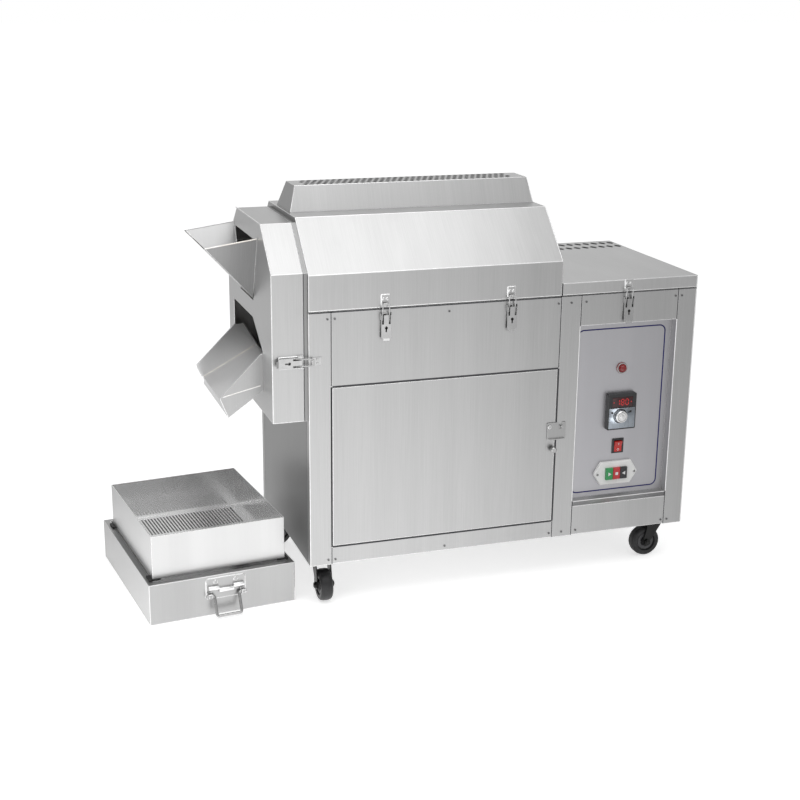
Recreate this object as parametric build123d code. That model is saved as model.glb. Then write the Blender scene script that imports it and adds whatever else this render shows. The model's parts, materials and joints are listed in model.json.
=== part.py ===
from build123d import *
import os
from math import atan2, cos, degrees, hypot, pi, radians, sin, tan

# Electric drum roaster: a sheet-metal cabinet on four casters, with a heated turning drum under a
# hinged hood, an end cover that carries the feed hopper and the discharge chute, a control box at
# the right and two loose trays that stand below the chute.
# Millimetres, +Z up. While drawing, x runs from the cabinet's left face to the right, y from its
# front face to the back, and z = 0 is the cabinet's underside. Everything is shifted at the end.

# Cabinet
cabinet_width = 800.0
cabinet_depth = 390.0
control_box_width = 295.0    # control box at the cabinet's right end
seam_height = 500.0          # top edge of the cabinet, where the hood and the lid close
sheet = 1.2                  # stainless sheet
post_width = 43.0
post_return = 20.0           # folded sides of the posts
door_side = cabinet_width - control_box_width   # left edge of the middle post
middle_post_width = 43.0
door_top = 356.0
door_foot = 38.0
door_gap = 2.0               # gap all round the door
door_return = 15.0
heated_height = 238.0        # from the ceiling of the storage space up to the seam
storage_top = seam_height - heated_height
pan_flange = 20.0
side_panel_top = 294.5

# Hood and its vent box
hood_gap = 1.2               # gap along the seam and between hood and lid
hood_bend = seam_height + 69.0   # where the front and the back start to slope
hood_top = seam_height + 160.0
hood_slope_run = 92.0
hood_rim = 14.0              # inward flange at the hood's open left end
vent_foot_x = (5.0, door_side - 3.0)
vent_top_x = (19.0, door_side - 11.0)
vent_foot_depth = 103.0
vent_top_depth = 63.0
vent_middle = cabinet_depth / 2 + 2.5
vent_foot_y = (vent_middle - vent_foot_depth / 2, vent_middle + vent_foot_depth / 2)
vent_top_y = (vent_middle - vent_top_depth / 2, vent_middle + vent_top_depth / 2)
vent_height = 48.0
vent_hole_columns = 34
vent_hole_rows = 4
vent_hole = 5.6
hinge_offset = 4.5           # hinge pin behind the back face
hinge_radius = 3.6
hinge_pin_radius = 1.9
hinge_length = 60.0
hinge_leaf_height = 24.0

# Control box lid
lid_height = 24.0
lid_slot_rows = 2
lid_slot_columns = 14
lid_slot_pitch = 19.5
lid_slot_row_gap = 38.0
large_slot = (12.0, 6.0)
small_slot = (8.0, 4.5)

# Drum and what carries it
drum_axis_y = cabinet_depth / 2
drum_axis_z = seam_height - 30.0
drum_side_gap = 50.0         # from the drum to the cabinet's front and back
drum_radius = cabinet_depth / 2 - drum_side_gap
drum_wall = 1.5
drum_left = 14.0
drum_right = door_side - 21.0
mouth_radius = 92.0
mouth_reach = 30.0           # how far the mouth ring stands out to the left of the cabinet
flight_height = 26.0
flight_count = 4
flight_turn = 40.0           # degrees that each flight winds round along the drum
flight_wall = 1.6
tyre_height = 3.0            # running ring round the mouth
tyre_width = 12.0
tyre_centre_x = -15.0
roller_radius = 15.0
roller_angle = 35.0
roller_bore = 4.06
roller_pin_radius = 4.0
roller_gap = 0.3
shaft_radius = 10.0
shaft_fit = 0.05
drive_wall_x = door_side - 6.0
bearing_side = 60.0
bearing_reach = 22.0
coupling_radius = 18.0
coupling_length = 30.0
bracket_reach = 70.0
bracket_side = 86.0
gearbox_side = 88.0
gearbox_length = 62.0
gearbox_drop = 14.0          # the output shaft sits above the gearbox centre
motor_radius = 43.0
motor_length = 112.0

# Heated trough round the lower half of the drum
liner_radius = drum_radius + 28.0
heater_circle = drum_radius + 15.0
heater_radius = 4.5
heater_angles = (15.0, 41.0, 67.0)
heater_bend_x = 22.0
heater_reach = 26.0

# End cover with hopper and chute
cover_plate_x = -68.0        # outer face of the cover's end plate
ring_depth = 8.0             # rim of the fixed end wall
cover_front = 4.0
cover_back = cabinet_depth - 18.0
cover_foot = drum_axis_z - 177.0
cover_bend = hood_bend + 4.0
cover_top = hood_top - 8.0
cover_front_run = 80.0
cover_back_run = 92.0
cover_gap = 0.3
feed_near = drum_axis_y - 90.0
feed_far = drum_axis_y + 113.0
feed_rim = seam_height + 121.0
feed_foot = seam_height - 1.0
feed_foot_narrowing = 44.0
feed_lip_x = -167.0
feed_lip_drop = 14.0
feed_inner_reach = 12.0
chute_near = drum_axis_y - 115.0
chute_far = drum_axis_y + 125.0
chute_window_top = drum_axis_z - 8.0
chute_window_far = chute_far + 7.0

# Toggle latches
latch_width = 22.0
lever_width = 19.0
lever_length = 40.0
bail_wire = 1.1
bail_reach = 31.0            # from the bail's pivot to its crossbar
bail_pivot_back = 8.0
bail_pivot_height = 4.5
bail_half_width = 6.6
lever_pivot_height = 5.0
pivot_rivet_radius = 1.5
pivot_fit = 0.06
strike_start = 20.0
strike_length = 20.0

# Controls
recess_depth = 20.0
control_rail_foot = seam_height - 62.0
control_sill_front = 62.0
control_sill_back = 73.0
control_x = cabinet_width - 146.5
pilot_z = 340.0
pilot_radius = 11.5
thermostat_z = 251.5
thermostat_size = (63.0, 75.0)
thermostat_front = 12.0
rocker_z = 176.0
rocker_size = (25.5, 31.0)
station_x = control_x - 4.0
station_z = 119.5
station_size = (96.0, 49.0)
button_size = (15.2, 24.4)
button_pitch = 16.0
button_travel = 4.0
button_fit = 0.08

# Casters
caster_height = 85.6
wheel_radius = 31.5
wheel_width = 24.0
wheel_bore = 4.06
axle_radius = 4.0
caster_trail = 20.0
caster_inset_x = 35.0
caster_inset_y = 52.0
caster_plate_side = 56.0
fork_gap = 1.5
kingpin_radius = 5.0
kingpin_fit = 0.06

# Loose trays, in their own corner frame
tray_corner = (-308.0, 12.6)
tray_turn = 6.0              # degrees that the trays stand askew to the cabinet
tray_length = 289.0
tray_depth = 361.0
tray_height = 81.0
tray_rim = 12.0
foot_height = 3.0
sieve_length = 263.0
sieve_depth = 308.0
sieve_height = 85.0
sieve_offset = (13.0, 21.0)
sieve_floor = 2.0
sieve_border = 13.0          # plain edge round the slotted floor
sieve_columns = 36
sieve_rows = 3
sieve_slot = 3.0
sieve_bridge = 7.0           # plain strip between two rows of slots
carry_width = 66.0
carry_wire = 3.0
carry_drop = 36.0
carry_height = 42.0


def box(x0, x1, y0, y1, z0, z1):
    centre = ((x0 + x1) / 2, (y0 + y1) / 2, (z0 + z1) / 2)
    return Pos(*centre) * Box(abs(x1 - x0), abs(y1 - y0), abs(z1 - z0))


def prism(points, step):
    return extrude(make_face(Polyline(*points, close=True)), amount=Vector(*step).length, dir=step)


def along_x(outline, x0, x1):
    return prism([(x0, y, z) for y, z in outline], (x1 - x0, 0, 0))


def along_y(outline, y0, y1):
    return prism([(x, y0, z) for x, z in outline], (0, y1 - y0, 0))


def along_z(outline, z0, z1):
    return prism([(x, y, z0) for x, y in outline], (0, 0, z1 - z0))


def rod(start, direction, length, radius):
    base = (Align.CENTER, Align.CENTER, Align.MIN)
    return Plane(origin=start, z_dir=direction) * Cylinder(radius, length, align=base)


def pipe(start, direction, length, radius, bore):
    return rod(start, direction, length, radius) - rod(start, direction, length, bore)


def wire_run(points, radius, corner):
    """Round wire through the points: straight rods joined by elbows of the corner radius."""
    points = [Vector(*point) for point in points]
    start = points[0]
    wire = None
    for before, here, after in zip(points, points[1:], points[2:]):
        arriving = (here - before).normalized()
        leaving = (after - here).normalized()
        bend = arriving.get_angle(leaving)
        setback = corner * tan(radians(bend / 2))
        tangent = here - arriving * setback
        pivot = arriving.cross(leaving).normalized()
        centre = tangent + pivot.cross(arriving) * corner
        section = Plane(origin=tangent, z_dir=arriving) * Circle(radius)
        elbow = revolve(section, axis=Axis(centre, pivot), revolution_arc=bend)
        straight = rod(start, arriving, (tangent - start).length, radius)
        wire = straight + elbow if wire is None else wire + straight + elbow
        start = here + leaving * setback
    last = points[-1] - start
    return wire + rod(start, last.normalized(), last.length, radius)


def group(*solids):
    return Compound([solid for shape in solids for solid in shape.solids()])


# Cabinet frame

def front_post(x0, x1):
    outline = [(x0, 0), (x1, 0), (x1, post_return), (x1 - sheet, post_return),
               (x1 - sheet, sheet), (x0 + sheet, sheet), (x0 + sheet, post_return),
               (x0, post_return)]
    return along_z(outline, 0, seam_height)


def rear_post(x0, x1):
    front = front_post(x0, x1)
    return front.mirror(Plane.XZ.offset(-cabinet_depth / 2))


middle_post_end = door_side + middle_post_width
right_post_start = cabinet_width - post_width + 2.0


def frame_posts():
    return group(front_post(0, post_width),
                 front_post(door_side, middle_post_end),
                 front_post(right_post_start, cabinet_width),
                 rear_post(0, post_width),
                 rear_post(right_post_start, cabinet_width))


def bottom_rail():
    top = door_foot - door_gap
    outline = [(0, sheet), (0, top), (post_return, top), (post_return, top - sheet),
               (sheet, top - sheet), (sheet, sheet)]
    return along_x(outline, post_width, door_side)


def upper_control_rail():
    outline = [(0, control_rail_foot), (0, seam_height), (recess_depth, seam_height),
               (recess_depth, seam_height - sheet), (sheet, seam_height - sheet),
               (sheet, control_rail_foot + sheet), (recess_depth, control_rail_foot + sheet),
               (recess_depth, control_rail_foot)]
    return along_x(outline, middle_post_end, right_post_start)


def control_sill():
    outline = [(0, sheet), (0, control_sill_front), (recess_depth, control_sill_back),
               (recess_depth, control_sill_back - sheet), (sheet, control_sill_front - sheet),
               (sheet, sheet)]
    return along_x(outline, middle_post_end, right_post_start)


def frame_rails():
    return group(bottom_rail(), upper_control_rail(), control_sill())


def front_panel():
    outline = [(0, door_top), (0, seam_height), (post_return, seam_height),
               (post_return, seam_height - sheet), (sheet, seam_height - sheet),
               (sheet, door_top + sheet), (post_return, door_top + sheet),
               (post_return, door_top)]
    return along_x(outline, post_width, door_side)


caster_spots = [(caster_inset_x, caster_inset_y, -90.0),
                (cabinet_width - caster_inset_x, caster_inset_y, 180.0),
                (caster_inset_x, cabinet_depth - caster_inset_y, 200.0),
                (cabinet_width - caster_inset_x, cabinet_depth - caster_inset_y, 90.0)]
plate_wall = 2.5
race_height = 7.0


def caster_plate(x, y):
    half = caster_plate_side / 2
    plate = box(x - half, x + half, y - half, y + half, -plate_wall, 0)
    for dx in (-1, 1):
        for dy in (-1, 1):
            spot = (x + dx * (half - 8), y + dy * (half - 8), -plate_wall - 3.0)
            plate += extrude(Pos(*spot) * RegularPolygon(5.0, 6), amount=3.0)
    kingpin = rod((x, y, -plate_wall), (0, 0, -1), race_height + 5.0, kingpin_radius)
    kingpin += rod((x, y, -plate_wall - race_height - 3.0), (0, 0, -1), 4.0, kingpin_radius + 3.5)
    return plate + kingpin


def base_pan():
    inset = 2 * sheet
    x1 = cabinet_width - inset
    y1 = cabinet_depth - inset
    floor_sheet = box(inset, x1, inset, y1, 0, sheet)
    rim = box(inset, x1, inset, y1, 0, pan_flange)
    rim -= box(inset + sheet, x1 - sheet, inset + sheet, y1 - sheet, -1, pan_flange + 1)
    pan = floor_sheet + rim
    notch = post_return
    for a, b in ((0, post_width), (door_side, middle_post_end), (right_post_start, cabinet_width)):
        pan -= box(a - 1, b, -1, notch, -1, pan_flange + 1)
        if a != door_side:
            pan -= box(a - 1, b, cabinet_depth - notch, cabinet_depth + 1, -1, pan_flange + 1)
    return group(pan, *[caster_plate(x, y) for x, y, turn in caster_spots])


def side_panels():
    left = box(0, sheet, post_return, cabinet_depth - post_return, 0, side_panel_top)
    right_x = cabinet_width - sheet
    y0, y1 = post_return, cabinet_depth - post_return
    right = box(right_x, cabinet_width, y0, y1, 0, seam_height)
    shelf = box(right_x - post_return, right_x, y0, y1, seam_height - sheet, seam_height)
    return group(left, right, shelf)


gland_x = cabinet_width - 100.0
gland_z = 120.0
gland_bore = 5.0
gland_thread = 10.0


def back_panel():
    x0, x1 = post_width, right_post_start
    y0, y1 = cabinet_depth - sheet, cabinet_depth
    panel = box(x0, x1, y0, y1, 0, seam_height)
    for z in (seam_height - sheet, 0):
        panel += box(x0, x1, cabinet_depth - post_return, y1, z, z + sheet)
    panel -= box(x0 - 1, x1 + 1, cabinet_depth - post_return - 1, y0, -1, pan_flange)
    return panel - rod((gland_x, y0 - 1, gland_z), (0, 1, 0), 4 * sheet, gland_thread)


def cable_gland():
    inner, outer = cabinet_depth - sheet, cabinet_depth
    thread = rod((gland_x, inner - 12, gland_z), (0, 1, 0), 14.0, gland_thread - 0.1)
    lock_nut = extrude(Plane(origin=(gland_x, inner - 6, gland_z), z_dir=(0, 1, 0))
                       * RegularPolygon(14.0, 6), amount=6.0)
    dome = extrude(Plane(origin=(gland_x, outer, gland_z), z_dir=(0, 1, 0))
                   * RegularPolygon(13.5, 6), amount=9.0)
    cap = Plane(origin=(gland_x, outer + 9.0, gland_z), z_dir=(0, 1, 0)) * Cone(
        11.5, 8.0, 11.0, align=(Align.CENTER, Align.CENTER, Align.MIN))
    body = thread + lock_nut + dome + cap
    return body - rod((gland_x, inner - 13, gland_z), (0, 1, 0), 36.0, gland_bore)


# End walls

def roof_profile(front, back, foot, bend, top, front_run, back_run):
    return [(front, foot), (front, bend), (front + front_run, top), (back - back_run, top),
            (back, bend), (back, foot)]


def cover_profile(inset=0.0):
    side = inset * tan(radians(22.5))
    return roof_profile(cover_front + inset, cover_back - inset, cover_foot + inset,
                        cover_bend - side, cover_top - inset, cover_front_run - 0.2 * inset,
                        cover_back_run - 0.2 * inset)


def hood_profile(inset=0.0, foot=seam_height + hood_gap):
    side = inset * tan(radians(22.5))
    return roof_profile(inset, cabinet_depth - inset, foot, hood_bend - side, hood_top - inset,
                        hood_slope_run - 0.2 * inset, hood_slope_run - 0.2 * inset)


def left_end_wall():
    wall = along_x(cover_profile(), -ring_depth, 0)
    wall -= along_x(cover_profile(sheet), -ring_depth - 1, -sheet)
    hole = mouth_radius + drum_wall + 5.0
    wall -= rod((-sheet - 1, drum_axis_y, drum_axis_z), (1, 0, 0), sheet + 2, hole)
    for side in (-1, 1):
        y, z = roller_place(side)
        wall += rod((-sheet / 2, y, z), (-1, 0, 0), 22.0, roller_pin_radius)
        wall += rod((-sheet / 2, y, z), (-1, 0, 0), 7.0, roller_pin_radius + 3)
    return wall


def roller_place(side):
    reach = mouth_radius + drum_wall + tyre_height + roller_gap + roller_radius
    return (drum_axis_y + side * reach * sin(radians(roller_angle)),
            drum_axis_z - reach * cos(radians(roller_angle)))


def support_roller(side):
    y, z = roller_place(side)
    start = tyre_centre_x - 6.0
    wheel = rod((start, y, z), (1, 0, 0), 12.0, roller_radius)
    wheel += rod((start - 1, y, z), (1, 0, 0), 14.0, roller_bore + 3)
    return wheel - rod((start - 2, y, z), (1, 0, 0), 16.0, roller_bore)


def drive_end_wall():
    inner = 4.0
    low = along_x([(2.5 * sheet, sheet), (2.5 * sheet, seam_height),
                   (cabinet_depth - 2.5 * sheet, seam_height),
                   (cabinet_depth - 2.5 * sheet, sheet)], drive_wall_x, drive_wall_x + sheet)
    wall = low + along_x(hood_profile(inner, seam_height - 1), drive_wall_x, drive_wall_x + sheet)
    wall -= rod((drive_wall_x - 1, drum_axis_y, drum_axis_z), (1, 0, 0), 4, shaft_radius + 4)
    for y, z in heater_places():
        wall -= rod((drive_wall_x - 1, y, z), (1, 0, 0), 4, heater_radius + 0.1)
    wall -= box(drive_wall_x - 1, drive_wall_x + 2, -1, post_return + 1, -1, seam_height - 20)
    wall -= box(drive_wall_x - 1, drive_wall_x + 2, 0, post_return + 1, seam_height - 20,
                seam_height)
    wall -= box(drive_wall_x - 1, drive_wall_x + 2, cabinet_depth - 5 * sheet, cabinet_depth + 1,
                -1, pan_flange + 1)
    wall -= box(drive_wall_x - 1, drive_wall_x + 2, cabinet_depth - post_return - 0.3,
                cabinet_depth, seam_height - 1.3 * sheet, seam_height + 0.1)
    return wall


def heater_places():
    spots = []
    for side in (-1, 1):
        for angle in heater_angles:
            spots.append((drum_axis_y + side * heater_circle * sin(radians(angle)),
                          drum_axis_z - heater_circle * cos(radians(angle))))
    return spots


def heating_tubes():
    spots = heater_places()
    end_x = drive_wall_x + heater_reach
    pairs = [(spots[0], spots[3]), (spots[1], spots[2]), (spots[4], spots[5])]
    tubes = []
    for (y0, z0), (y1, z1) in pairs:
        gap = hypot(y1 - y0, z1 - z0)
        tubes.append(wire_run([(end_x, y0, z0), (heater_bend_x, y0, z0),
                               (heater_bend_x, y1, z1), (end_x, y1, z1)],
                              heater_radius, min(gap / 2 - 0.5, 20.0)))
    for y, z in spots:
        tubes.append(pipe((drive_wall_x + sheet, y, z), (1, 0, 0), 12.0, heater_radius + 3.0,
                          heater_radius + 0.05))
    return group(*tubes)


trough_left = 1.5


def trough_liner():
    x0, x1 = trough_left, drive_wall_x
    axis = (x0, drum_axis_y, drum_axis_z)
    sleeve = pipe(axis, (1, 0, 0), x1 - x0, liner_radius + sheet, liner_radius)
    reach = liner_radius + 20
    sleeve -= box(x0 - 1, x1 + 1, drum_axis_y - reach, drum_axis_y + reach, drum_axis_z,
                  drum_axis_z + reach)
    top = seam_height - 2.5
    for side in (-1, 1):
        wall_y = drum_axis_y + side * liner_radius
        edge_y = drum_axis_y + side * (liner_radius + sheet)
        sleeve += box(x0, x1, wall_y, edge_y, drum_axis_z - 1, top)
    inset = 2.5 * sheet
    ceiling = box(x0 + 2 * sheet, x1, post_return + 0.5, cabinet_depth - inset, storage_top,
                  storage_top + sheet)
    return group(sleeve, ceiling - rear_post(0, post_width))


def insulation():
    x0, x1 = trough_left + 1.5, drive_wall_x - 0.5
    foot = storage_top + 1.5 * sheet
    top = seam_height - 4.0
    block = box(x0, x1, 2 * sheet, cabinet_depth - 2 * sheet, foot, top)
    block -= box(x0 - 1, x1 + 1, -1, post_return + 0.8, foot - 1, door_top + 2 * sheet)
    block -= rod((x0 - 1, drum_axis_y, drum_axis_z), (1, 0, 0), x1 - x0 + 2,
                 liner_radius + 1.5 * sheet)
    inner = liner_radius + 1.5 * sheet
    block -= box(x0 - 1, x1 + 1, drum_axis_y - inner, drum_axis_y + inner, drum_axis_z, top + 1)
    block -= box(-1, post_width + 0.3, -1, post_return + 0.3, foot - 1, top + 1)
    block -= box(-1, post_width + 0.3, cabinet_depth - post_return - 0.3, cabinet_depth,
                 foot - 1, top + 1)
    return group(block)


# Drum

def drum_ring(outline, segments=1):
    """Rings round the drum's axis, from an outline of x and radius, in equal segments."""
    y, z = drum_axis_y, drum_axis_z
    points = [(x, y, z + radius) for x, radius in outline]
    axis = Axis((0, y, z), (1, 0, 0))
    turn = 360.0 / segments
    first = revolve(make_face(Polyline(*points, close=True)), axis=axis, revolution_arc=turn)
    return [first.rotate(axis, turn * k) for k in range(segments)]


cone_end = 2.0
ring_segments = 4            # the mouth, tyre and cone are butted from segments


def drum():
    """Mouth pipe, running tyre, cone, rolled shell, end disc with its hub, and flights."""
    wall = drum_wall
    r, m = drum_radius, mouth_radius
    half_tyre = tyre_width / 2
    hub = shaft_radius + 14
    mouth = drum_ring([(-mouth_reach, m), (-mouth_reach, m + wall), (cone_end, m + wall),
                       (cone_end, m)], ring_segments)
    tyre = drum_ring([(tyre_centre_x - half_tyre, m + wall + 0.02),
                      (tyre_centre_x - half_tyre, m + wall + tyre_height),
                      (tyre_centre_x + half_tyre, m + wall + tyre_height),
                      (tyre_centre_x + half_tyre, m + wall + 0.02)], ring_segments)
    cone = drum_ring([(cone_end, m), (cone_end, m + wall), (drum_left, r),
                      (drum_left, r - wall)], ring_segments)
    shell = drum_ring([(drum_left, r - wall), (drum_left, r), (drum_right - wall, r),
                       (drum_right - wall, r - wall)])
    end_disc = drum_ring([(drum_right - wall, hub), (drum_right - wall, r), (drum_right, r),
                          (drum_right, hub)])
    boss = drum_ring([(drum_right - 12, shaft_radius), (drum_right - 12, hub),
                      (drum_right + 6, hub), (drum_right + 6, shaft_radius)])
    flights = [flight(360.0 / flight_count * k + 20.0) for k in range(flight_count)]
    return group(*mouth, *tyre, *cone, *shell, *end_disc, *boss, *flights)


def flight(start_angle):
    steps = 6
    x0, x1 = drum_left + 6.0, drum_right - drum_wall - 4.0
    low = drum_radius - flight_height
    high = drum_radius - drum_wall - 0.05
    sections = []
    for k in range(steps + 1):
        share = k / steps
        angle = radians(start_angle + flight_turn * share)
        out = Vector(0, cos(angle), sin(angle))
        side = Vector(0, -sin(angle), cos(angle)) * (flight_wall / 2)
        centre = Vector(x0 + (x1 - x0) * share, drum_axis_y, drum_axis_z)
        corners = [centre + out * low - side, centre + out * high - side,
                   centre + out * high + side, centre + out * low + side]
        sections.append(make_face(Polyline(*corners, close=True)))
    return loft(sections, ruled=True)


coupling_end = drive_wall_x + sheet + bracket_reach - 6.0


def drum_shaft():
    y, z = drum_axis_y, drum_axis_z
    start = drum_right - 12.0
    shaft = rod((start, y, z), (1, 0, 0), coupling_end - 16 - start, shaft_radius)
    coupling_start = coupling_end - coupling_length
    coupling = rod((coupling_start, y, z), (1, 0, 0), coupling_length, coupling_radius)
    waist = pipe((coupling_start + 13, y, z), (1, 0, 0), 4.0, coupling_radius + 1,
                 coupling_radius - 4)
    coupling -= waist
    coupling -= rod((coupling_start - 1, y, z), (1, 0, 0), coupling_length + 2, shaft_radius)
    stub = rod((coupling_end - 15, y, z), (1, 0, 0), 23.0, shaft_radius)
    return group(shaft, coupling, stub)


def drum_bearing():
    x = drive_wall_x + sheet
    y, z = drum_axis_y, drum_axis_z
    half = bearing_side / 2
    flange = box(x, x + 9, y - half, y + half, z - half, z + half)
    flange = chamfer(flange.edges().filter_by(Axis.X), 8.0)
    boss = rod((x + 8, y, z), (1, 0, 0), bearing_reach - 8, 21.0)
    body = flange + boss
    for dy in (-1, 1):
        for dz in (-1, 1):
            body += rod((x + 9, y + dy * (half - 8), z + dz * (half - 8)), (1, 0, 0), 5.0, 5.0)
    return body - rod((x - 1, y, z), (1, 0, 0), bearing_reach + 2, shaft_radius + shaft_fit)


def motor_bracket():
    x0 = drive_wall_x + sheet
    x1 = x0 + bracket_reach
    half = bracket_side / 2
    wall = 3.0
    y, z = drum_axis_y, drum_axis_z - gearbox_drop
    face = box(x1 - wall, x1, y - half, y + half, z - half, z + half)
    for side in (-1, 1):
        outer = y + side * half
        arm = box(x0, x1, outer, outer - side * wall, z - half, z + half)
        foot = box(x0, x0 + wall, outer, outer + side * 18, z - half, z + half)
        window = box(x0 + 16, x1 - 16, outer - side * 5, outer + side, z - half + 22,
                     z + half - 22)
        face += (arm - window) + foot
    hole = coupling_radius + 1.0
    return face - rod((x1 - wall - 1, y, drum_axis_z), (1, 0, 0), wall + 2, hole)


def gear_motor():
    x0 = drive_wall_x + sheet + bracket_reach
    y, z = drum_axis_y, drum_axis_z - gearbox_drop
    half = gearbox_side / 2
    gearbox = box(x0, x0 + gearbox_length, y - half, y + half, z - half, z + half)
    gearbox = fillet(gearbox.edges().filter_by(Axis.X), 8.0)
    gearbox -= rod((x0 - 1, y, drum_axis_z), (1, 0, 0), 12.0, shaft_radius + shaft_fit)
    start = x0 + gearbox_length
    motor = rod((start, y, z), (1, 0, 0), motor_length, motor_radius)
    for k in range(3):
        ring_x = start + 20 + 28 * k
        motor -= pipe((ring_x, y, z), (1, 0, 0), 6.0, motor_radius + 1, motor_radius - 3)
    terminal_box = box(start + 30, start + 80, y - 26, y + 26, z - motor_radius - 16, z)
    return group(gearbox + motor + terminal_box, motor_bracket())


# Control box

probe_head_radius = 7.0


def control_panel():
    y0 = recess_depth
    panel = box(middle_post_end, right_post_start, y0, y0 + sheet, control_sill_back - 12,
                control_rail_foot + 12)
    for x, z, half_x, half_z in ((control_x, thermostat_z, 24.0, 30.0),
                                 (control_x, rocker_z, 11.0, 14.0),
                                 (station_x, station_z, 30.5, 18.5)):
        panel -= box(x - half_x, x + half_x, y0 - 1, y0 + 3, z - half_z, z + half_z)
    return panel - rod((control_x, y0 - 1, pilot_z), (0, 1, 0), 4.0, pilot_radius - 3.3)


def pilot_light():
    y0 = recess_depth
    bezel = rod((control_x, y0, pilot_z), (0, -1, 0), 3.0, pilot_radius)
    bezel = chamfer(bezel.faces().sort_by(Axis.Y)[0].edges(), 1.0)
    dome_radius = pilot_radius - 3.0
    reach = pilot_radius + 1
    dome = Pos(control_x, y0 - 3.0, pilot_z) * Sphere(dome_radius)
    dome -= box(control_x - reach, control_x + reach, y0 - 3, y0 + reach, pilot_z - reach,
                pilot_z + reach)
    return bezel + dome + rod((control_x, y0, pilot_z), (0, 1, 0), 28.0, pilot_radius - 3.5)


knob_z = thermostat_z - 8.5
knob_x = control_x - 4.0
knob_radius = 12.5
knob_spindle = 3.0


def temperature_controller():
    y0 = recess_depth
    wide, tall = thermostat_size
    case = box(control_x - wide / 2, control_x + wide / 2, y0 - thermostat_front, y0,
               thermostat_z - tall / 2, thermostat_z + tall / 2)
    case = fillet(case.edges().filter_by(Axis.Y), 3.0)
    case = chamfer(case.faces().sort_by(Axis.Y)[0].edges(), 1.2)
    window = box(control_x - 23, control_x + 23, y0 - thermostat_front - 1,
                 y0 - thermostat_front + 1.0, thermostat_z + 9, thermostat_z + 31)
    body = box(control_x - 23.5, control_x + 23.5, y0, y0 + 70, thermostat_z - 29.5,
               thermostat_z + 29.5)
    hole = rod((knob_x, y0 - thermostat_front - 1, knob_z), (0, 1, 0), 13.0,
               knob_spindle + shaft_fit)
    return case - window + body - hole


def temperature_knob():
    y0 = recess_depth - thermostat_front
    knob = rod((knob_x, y0 - 0.4, knob_z), (0, -1, 0), 9.0, knob_radius)
    knob = chamfer(knob.faces().sort_by(Axis.Y)[0].edges(), 1.2)
    knob += rod((knob_x, y0 - 0.5, knob_z), (0, 1, 0), 10.0, knob_spindle)
    groove = box(knob_x - 0.9, knob_x + 0.9, y0 - 10, y0 - 8.2, knob_z + 2,
                 knob_z + knob_radius - 1)
    return knob - groove


rocker_pivot_y = recess_depth + 3.0
rocker_tilt = 9.0
rocker_pin_radius = 1.5


def rocker_bezel():
    y0 = recess_depth
    wide, tall = rocker_size
    bezel = box(control_x - wide / 2, control_x + wide / 2, y0 - 2.5, y0, rocker_z - tall / 2,
                rocker_z + tall / 2)
    bezel = chamfer(bezel.faces().sort_by(Axis.Y)[0].edges(), 0.8)
    body = box(control_x - 10.7, control_x + 10.7, y0, y0 + 26, rocker_z - 13.7, rocker_z + 13.7)
    pocket = box(control_x - 8.6, control_x + 8.6, y0 - 4, y0 + 12, rocker_z - 12.2,
                 rocker_z + 12.2)
    pivot = rod((control_x - 10.0, rocker_pivot_y, rocker_z), (1, 0, 0), 20.0,
                rocker_pin_radius + pivot_fit)
    return bezel + body - pocket - pivot


def rocker():
    half = 11.2
    outline = [(rocker_pivot_y - 7.4, rocker_z - half), (rocker_pivot_y - 5.6, rocker_z),
               (rocker_pivot_y - 7.4, rocker_z + half), (rocker_pivot_y, rocker_z + half - 1.5),
               (rocker_pivot_y + 2.5, rocker_z), (rocker_pivot_y, rocker_z - half + 1.5)]
    paddle = along_x(outline, control_x - 8.2, control_x + 8.2)
    paddle += rod((control_x - 9.7, rocker_pivot_y, rocker_z), (1, 0, 0), 19.4,
                  rocker_pin_radius)
    pivot = Axis((control_x, rocker_pivot_y, rocker_z), (1, 0, 0))
    return paddle.rotate(pivot, rocker_tilt)


def station_outline():
    half_x, half_z = station_size[0] / 2, station_size[1] / 2
    shoulder = half_x * 0.7
    tip = 2.0
    return [(station_x - half_x, station_z + tip), (station_x - shoulder, station_z + half_z),
            (station_x + shoulder, station_z + half_z), (station_x + half_x, station_z + tip),
            (station_x + half_x, station_z - tip), (station_x + shoulder, station_z - half_z),
            (station_x - shoulder, station_z - half_z), (station_x - half_x, station_z - tip)]


button_spots = [station_x - button_pitch, station_x, station_x + button_pitch]
station_front = 7.0
station_body = (60.0, 36.0, 42.0)


def button_station():
    y0 = recess_depth
    plate = along_y(station_outline(), y0 - station_front, y0)
    plate = chamfer(plate.faces().sort_by(Axis.Y)[0].edges(), 1.5)
    wide, tall, deep = station_body
    body = box(station_x - wide / 2, station_x + wide / 2, y0, y0 + deep, station_z - tall / 2,
               station_z + tall / 2)
    station = plate + body
    half_x = button_size[0] / 2 + button_fit
    half_z = button_size[1] / 2 + button_fit
    for x in button_spots:
        station -= box(x - half_x, x + half_x, y0 - station_front - 1, y0 + 8,
                       station_z - half_z, station_z + half_z)
    for side in (-1, 1):
        x = station_x + side * (station_size[0] / 2 - 7)
        station += rod((x, y0 - station_front, station_z), (0, -1, 0), 1.0, 2.6)
    return station


def push_button(x):
    y0 = recess_depth - station_front
    wide, tall = button_size
    cap = box(x - wide / 2, x + wide / 2, y0 - 5.0, y0 + 4.0, station_z - tall / 2,
              station_z + tall / 2)
    return chamfer(cap.faces().sort_by(Axis.Y)[0].edges(), 0.8)


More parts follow.
